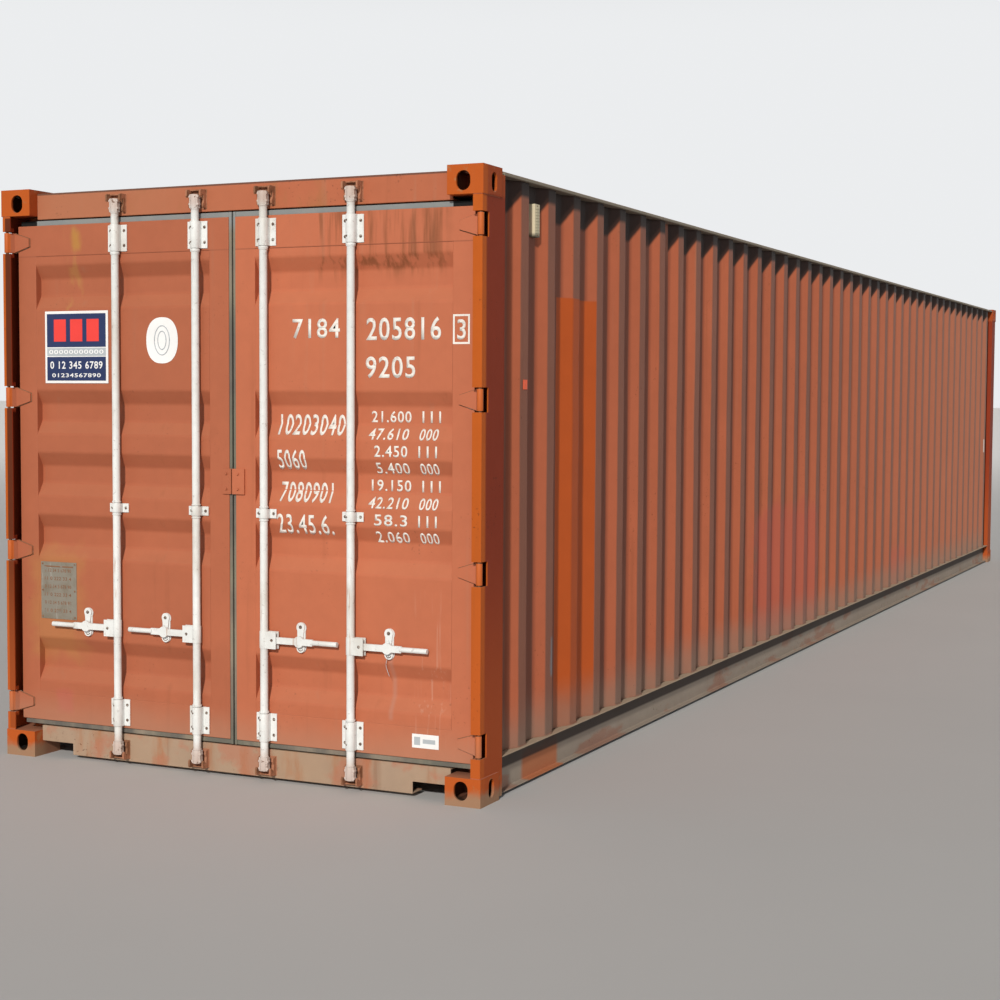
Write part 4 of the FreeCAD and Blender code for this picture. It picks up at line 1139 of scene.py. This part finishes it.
def hooked_cheek(shape, walls, end, rise):
    """One cheek of a keeper; the outline is depth behind the castings, then height off the end."""
    hook = ((0.053, -0.022), (0.016, -0.022), (0.009, -0.016), (0.009, 0.006), (0.016, 0.013),
            (0.023, 0.006), (0.027, -0.003), (0.033, 0.001), (0.037, 0.026), (0.029, 0.040),
            (0.031, 0.052), (0.053, 0.060))
    rings = []
    for x in walls:
        rings.append([shape.verts.new((x, cad_low.y + y, end + rise * z)) for y, z in hook])
    faces = [shape.faces.new(rings[0]), shape.faces.new(list(reversed(rings[1])))]
    for i in range(len(hook)):
        j = (i + 1) % len(hook)
        faces.append(shape.faces.new((rings[0][j], rings[0][i], rings[1][i], rings[1][j])))
    bmesh.ops.recalc_face_normals(shape, faces=faces)


def keepers():
    """Hooked cam keepers on the header and the sill, each with a shelf and a back plate."""
    front = cad_low.y
    shape = bmesh.new()
    for bar in BARS:
        for end, rise in BAR_ENDS:
            for side in (-1, 1):
                hooked_cheek(shape, sorted((bar + side * 0.0312, bar + side * 0.0395)), end, rise)
            low, high = sorted((end - rise * 0.0225, end - rise * 0.0165))
            slab(shape, (bar - 0.040, front + 0.034, low), (bar + 0.040, front + 0.053, high), 0.0015)
            low, high = sorted((end - rise * 0.024, end + rise * 0.061))
            slab(shape, (bar - 0.043, front + 0.0515, low), (bar + 0.043, front + 0.0535, high), 0.0008)
    piece("hooked_cam_keepers", shape, "container_frame", KEEPER, ("cam_keepers",))


def overlap_bolts():
    for hand, low_x, high_x in (("left", -0.044, -0.010), ("right", 0.012, 0.056)):
        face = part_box(f"door_{hand}_overlap_plate")[0].y
        shape = bmesh.new()
        middle = (low_x + high_x) / 2
        for level in (1.262, 1.328):
            bolt(shape, (middle, face + 0.0004, level), (0, -1, 0), 0.0088, 0.007)
        piece(f"{hand}_overlap_bolts", shape, f"{hand}_door", DOOR)


def hinge_welds_and_shade_lines(hand, side):
    """Weld seams round the tapered hinge blades of one door, in dark bare steel that is also painted
    shade along the blades' edges; the lower seam is thicker as painted shadow under the blade.
    """
    shape = bmesh.new()
    root, tip = side * 1.178, side * 1.094
    face = DOOR_FACE - 0.001
    for level in HINGES:
        for rise, thick in ((1, 0.0018), (-1, 0.0030)):
            start = (root, face, level + rise * 0.0445)
            end = (tip, face, level + rise * 0.0185)
            cord_tube(shape, straight(start, end, 0.006), thick, 0.25, 6)
        start, end = (tip, face, level - 0.0185), (tip, face, level + 0.0185)
        cord_tube(shape, straight(start, end, 0.006), 0.0020, 0.25, 6)
    piece(f"{hand}_hinge_welds_and_shade_lines", shape, f"{hand}_door", STEEL)


def casting_hole_shade_plates():
    """Plates inside the side holes of the corner castings, painted near black by the post paint as
    painted shade of the hollow castings.
    """
    shape = bmesh.new()
    for side in (-1, 1):
        lows, highs = sorted((side * 1.190, side * 1.193))
        for end in (-1, 1):
            near, far = sorted((end * 5.940, end * 6.076))
            for bottom, top in ((0.028, 0.100), (2.491, 2.563)):
                slab(shape, (lows, near, bottom), (highs, far, top))
    piece("casting_hole_shade_plates", shape, "container_frame", POSTS)


def hanging_wire():
    """A light tie wire left hanging from the last handle catch."""
    start = Vector((0.776, -6.062, 0.655))
    points = [start]
    for i in range(1, 26):
        drop = i / 25
        points.append(start + Vector((0.010 * math.sin(drop * 7), -0.004 * drop, -0.150 * drop)))
    shape = bmesh.new()
    cord_tube(shape, points, 0.0012, sides=6)
    piece("hanging_tie_wire", shape, "right_door", SIGN_GREY)


# ------------------------------------------------------------- frame details

def weld_beads():
    """Bead welds round the joints of the posts, castings and rails."""
    shape = bmesh.new()
    for side in (-1, 1):
        for level in (0.1185, 2.4725):
            front = [(side * 1.172, -6.0925, level), (side * 1.214, -6.0925, level)]
            cord_tube(shape, straight(*front, 0.006), 0.0026, 0.3, 6)
            outer = [(side * 1.2145, -6.088, level), (side * 1.2145, -5.934, level)]
            cord_tube(shape, straight(*outer, 0.006), 0.0026, 0.3, 6)
        for level in (0.175, 2.499):
            for end in (-5.870, 5.905):
                seam = [(side * 1.163, end, level), (side * 1.163, end + 0.010, level)]
                cord_tube(shape, straight(*seam, 0.004), 0.003, 0.3, 6)
    piece("post_weld_beads", shape, "container_frame", WELD)
    shape = bmesh.new()
    for side in (-1, 1):
        points = []
        corners = rib_corners(WALL_ENDS[0], *WALL_RIBS, WALL_ENDS[1], RIB_DEEP)
        for y, d in rounded(corners, 0.013, 2):
            points.append((side * (SIDE_FACE + d + 0.0005), y, 0.1755))
        cord_tube(shape, points, 0.0026, 0.25, 5)
    piece("wall_foot_weld", shape, "container_frame", BODY)


def vent_details():
    """Louvre slats and fixing rivets on both vent hoods."""
    slats = bmesh.new()
    screws = bmesh.new()
    first = WALL_ENDS[0] + WALL_RIBS[0] + WALL_PITCH - WALL_RIBS[3] / 2
    for side, across in ((1, first), (-1, first + WALL_PITCH * 39)):
        face = VALLEY_FACE + 0.028
        for i in range(9):
            level = 2.366 + i * 0.0128
            inner, outer = face - 0.0010, face + 0.0022
            lows, highs = sorted((side * inner, side * outer))
            slab(slats, (lows, across - 0.016, level), (highs, across + 0.016, level + 0.0062), 0.0010)
        for level in (2.358, 2.482):
            rivet(screws, (side * (face - 0.0006), across, level), (side, 0, 0), 0.0036, 12)
    piece("vent_slats", slats, "container_frame", VENT)
    piece("vent_screws", screws, "container_frame", STEEL)


def wall_tag():
    """A small red-orange tag on the first rib of the right wall."""
    shape = bmesh.new()
    slab(shape, (1.1966, -5.653, 1.698), (1.1982, -5.613, 1.739), 0.0005)
    piece("rib_tag", shape, "container_frame", TAG_RED)


def lashing_rings():
    """Tie rings along the floor edges inside the container."""
    shape = bmesh.new()
    for side in (-1, 1):
        for i in range(10):
            y = -5.35 + i * 1.18
            points = []
            for k in range(19):
                angle = math.pi * k / 18
                inward, along = 0.030 * math.sin(angle), 0.030 * math.cos(angle)
                points.append((side * (1.150 - inward), y + along, 0.172))
            cord_tube(shape, points, 0.0045, sides=8)
    piece("floor_lashing_rings", shape, "container_frame", STEEL)


# ------------------------------------------------------------- putting it together

def paint_kept_pieces():
    coat(POSTS, "door_end_castings", "closed_end_castings", "door_posts", "closed_end_posts")
    coat(HEADER, "door_header")
    coat(SILL, "door_sill")
    coat(BODY, "closed_end_header", "closed_end_sill", "roof_panel")
    coat(TOP_RAIL, "top_side_rails")
    coat(LOW_RAIL, "bottom_side_rails")
    coat(UNDERSIDE, "cross_members", "gooseneck_tunnel")
    coat(BOARDS, "floor_boards")
    coat(VENT, "ventilators")
    coat(KEEPER, "cam_keepers")
    coat(STEEL, "hinge_pins")
    coat(PLATE, "door_left_data_plate")
    for hand in ("left", "right"):
        coat(DOOR, f"door_{hand}_frame", f"door_{hand}_hinges", f"door_{hand}_overlap_plate")
        coat(RUBBER, f"door_{hand}_seal")
        coat(GEAR, f"door_{hand}_bar_brackets", f"door_{hand}_handle_rests")
    for number in (1, 2, 3, 4):
        coat(GEAR, f"lock_bar_{number}", f"handle_{number}", f"handle_catch_{number}")


def soften_kept_pieces():
    soften(0.006, "door_end_castings", "closed_end_castings")
    soften(0.003, "door_posts", "closed_end_posts", "bottom_side_rails", "top_side_rails")
    soften(0.003, "door_header", "door_sill", "closed_end_header", "closed_end_sill")
    soften(0.0025, "door_left_frame", "door_right_frame", "ventilators")
    soften(0.0015, "door_left_hinges", "door_right_hinges", "hinge_pins")
    soften(0.0012, "door_left_bar_brackets", "door_right_bar_brackets")
    soften(0.0008, "door_left_data_plate")
    soften(0.0015, "door_left_seal", "door_right_seal", "door_left_overlap_plate")
    soften(0.0015, "door_right_overlap_plate")
    for number in (1, 2, 3, 4):
        soften(0.0015, f"lock_bar_{number}", f"handle_{number}")


def details():
    for number, bar in enumerate(BARS, 1):
        bar_details(number, bar)
        catch_details(number)
    bracket_details("left", BARS[:2])
    bracket_details("right", BARS[2:])
    handle_rests("left", BARS[:2])
    handle_rests("right", BARS[2:])
    keepers()
    overlap_bolts()
    data_plate_details()
    door_numbers()
    sign_fields()
    oval_mark()
    label_mark()
    for hand, side in (("left", -1), ("right", 1)):
        hinge_welds_and_shade_lines(hand, side)
    casting_hole_shade_plates()
    hanging_wire()
    weld_beads()
    vent_details()
    wall_tag()
    lashing_rings()


# ------------------------------------------------------------- stage

FLOOR_HALF = 400.0
HORIZON_GLOW = 0.86
SKY_GLOW = 0.17
SUN_TOWARD = (0.25, -1.0, 0.53)
VIEW_FROM = (4.2290, -12.3436, 1.6610)
VIEW_TURN = (-0.43847, -0.05869, 0.00557)       # yaw, pitch and roll, in radians


def floor():
    shape = bmesh.new()
    spots = ((-1, -1), (1, -1), (1, 1), (-1, 1))
    shape.faces.new([shape.verts.new((x * FLOOR_HALF, y * FLOOR_HALF, 0)) for x, y in spots])
    mesh = bpy.data.meshes.new("pale floor")
    shape.to_mesh(mesh)
    shape.free()
    paint = Paint("pale floor")
    tone = paint.cloud(0.6)
    near = paint.blend((0.52, 0.52, 0.52), (0.56, 0.56, 0.56), tone)
    apart = paint.node("ShaderNodeVectorMath", {"operation": "LENGTH"}, {0: paint.place}, output=1)
    far = paint.rise(apart, 8.0, 45.0)
    paint.done(paint.blend(near, (0.92, 0.92, 0.92), far), 0.9)
    mesh.materials.append(paint.material)
    made = bpy.data.objects.new("pale floor", mesh)
    bpy.context.scene.collection.objects.link(made)


def light():
    world = bpy.data.worlds.new("studio")
    world.use_nodes = True
    glow = [n for n in world.node_tree.nodes if n.type == "BACKGROUND"][0]
    place = world.node_tree.nodes.new("ShaderNodeTexCoord")
    split = world.node_tree.nodes.new("ShaderNodeSeparateXYZ")
    fade = world.node_tree.nodes.new("ShaderNodeMapRange")
    fade.interpolation_type = "SMOOTHSTEP"
    fade.inputs["From Min"].default_value = 0.20
    fade.inputs["From Max"].default_value = 0.42
    fade.inputs["To Min"].default_value = HORIZON_GLOW
    fade.inputs["To Max"].default_value = SKY_GLOW
    links = world.node_tree.links
    links.new(place.outputs["Generated"], split.inputs[0])
    links.new(split.outputs[2], fade.inputs["Value"])
    links.new(fade.outputs[0], glow.inputs["Strength"])
    glow.inputs["Color"].default_value = (0.97, 0.985, 1.0, 1.0)
    bpy.context.scene.world = world
    lamp = bpy.data.lights.new("soft key light", "SUN")
    lamp.energy = 2.95
    lamp.angle = math.radians(3.0)
    lamp.color = (1.0, 0.95, 0.88)
    key = bpy.data.objects.new("soft key light", lamp)
    key.rotation_mode = "QUATERNION"
    key.rotation_quaternion = Vector(SUN_TOWARD).normalized().to_track_quat("Z", "Y")
    bpy.context.scene.collection.objects.link(key)


def camera():
    yaw, pitch, roll = VIEW_TURN
    ahead = Vector((math.sin(yaw) * math.cos(pitch), math.cos(yaw) * math.cos(pitch), math.sin(pitch)))
    across = Vector((math.cos(yaw), -math.sin(yaw), 0.0))
    up = across.cross(ahead)
    right = across * math.cos(roll) + up * math.sin(roll)
    up = right.cross(ahead)
    lens = bpy.data.cameras.new("viewpoint")
    lens.sensor_width = 36.0
    lens.lens = 62.45
    lens.clip_end = 1000.0
    made = bpy.data.objects.new("viewpoint", lens)
    turn = Matrix((right, up, -ahead)).transposed().to_4x4()
    made.matrix_world = Matrix.Translation(VIEW_FROM) @ turn
    bpy.context.scene.collection.objects.link(made)
    bpy.context.scene.camera = made


paint_kept_pieces()
soften_kept_pieces()
side_wall(1, "side_wall_right")
side_wall(-1, "side_wall_left")
end_wall()
roof()
door_sheet("left")
door_sheet("right")
details()
floor()
light()
camera()
bpy.context.scene.view_settings.view_transform = "Standard"
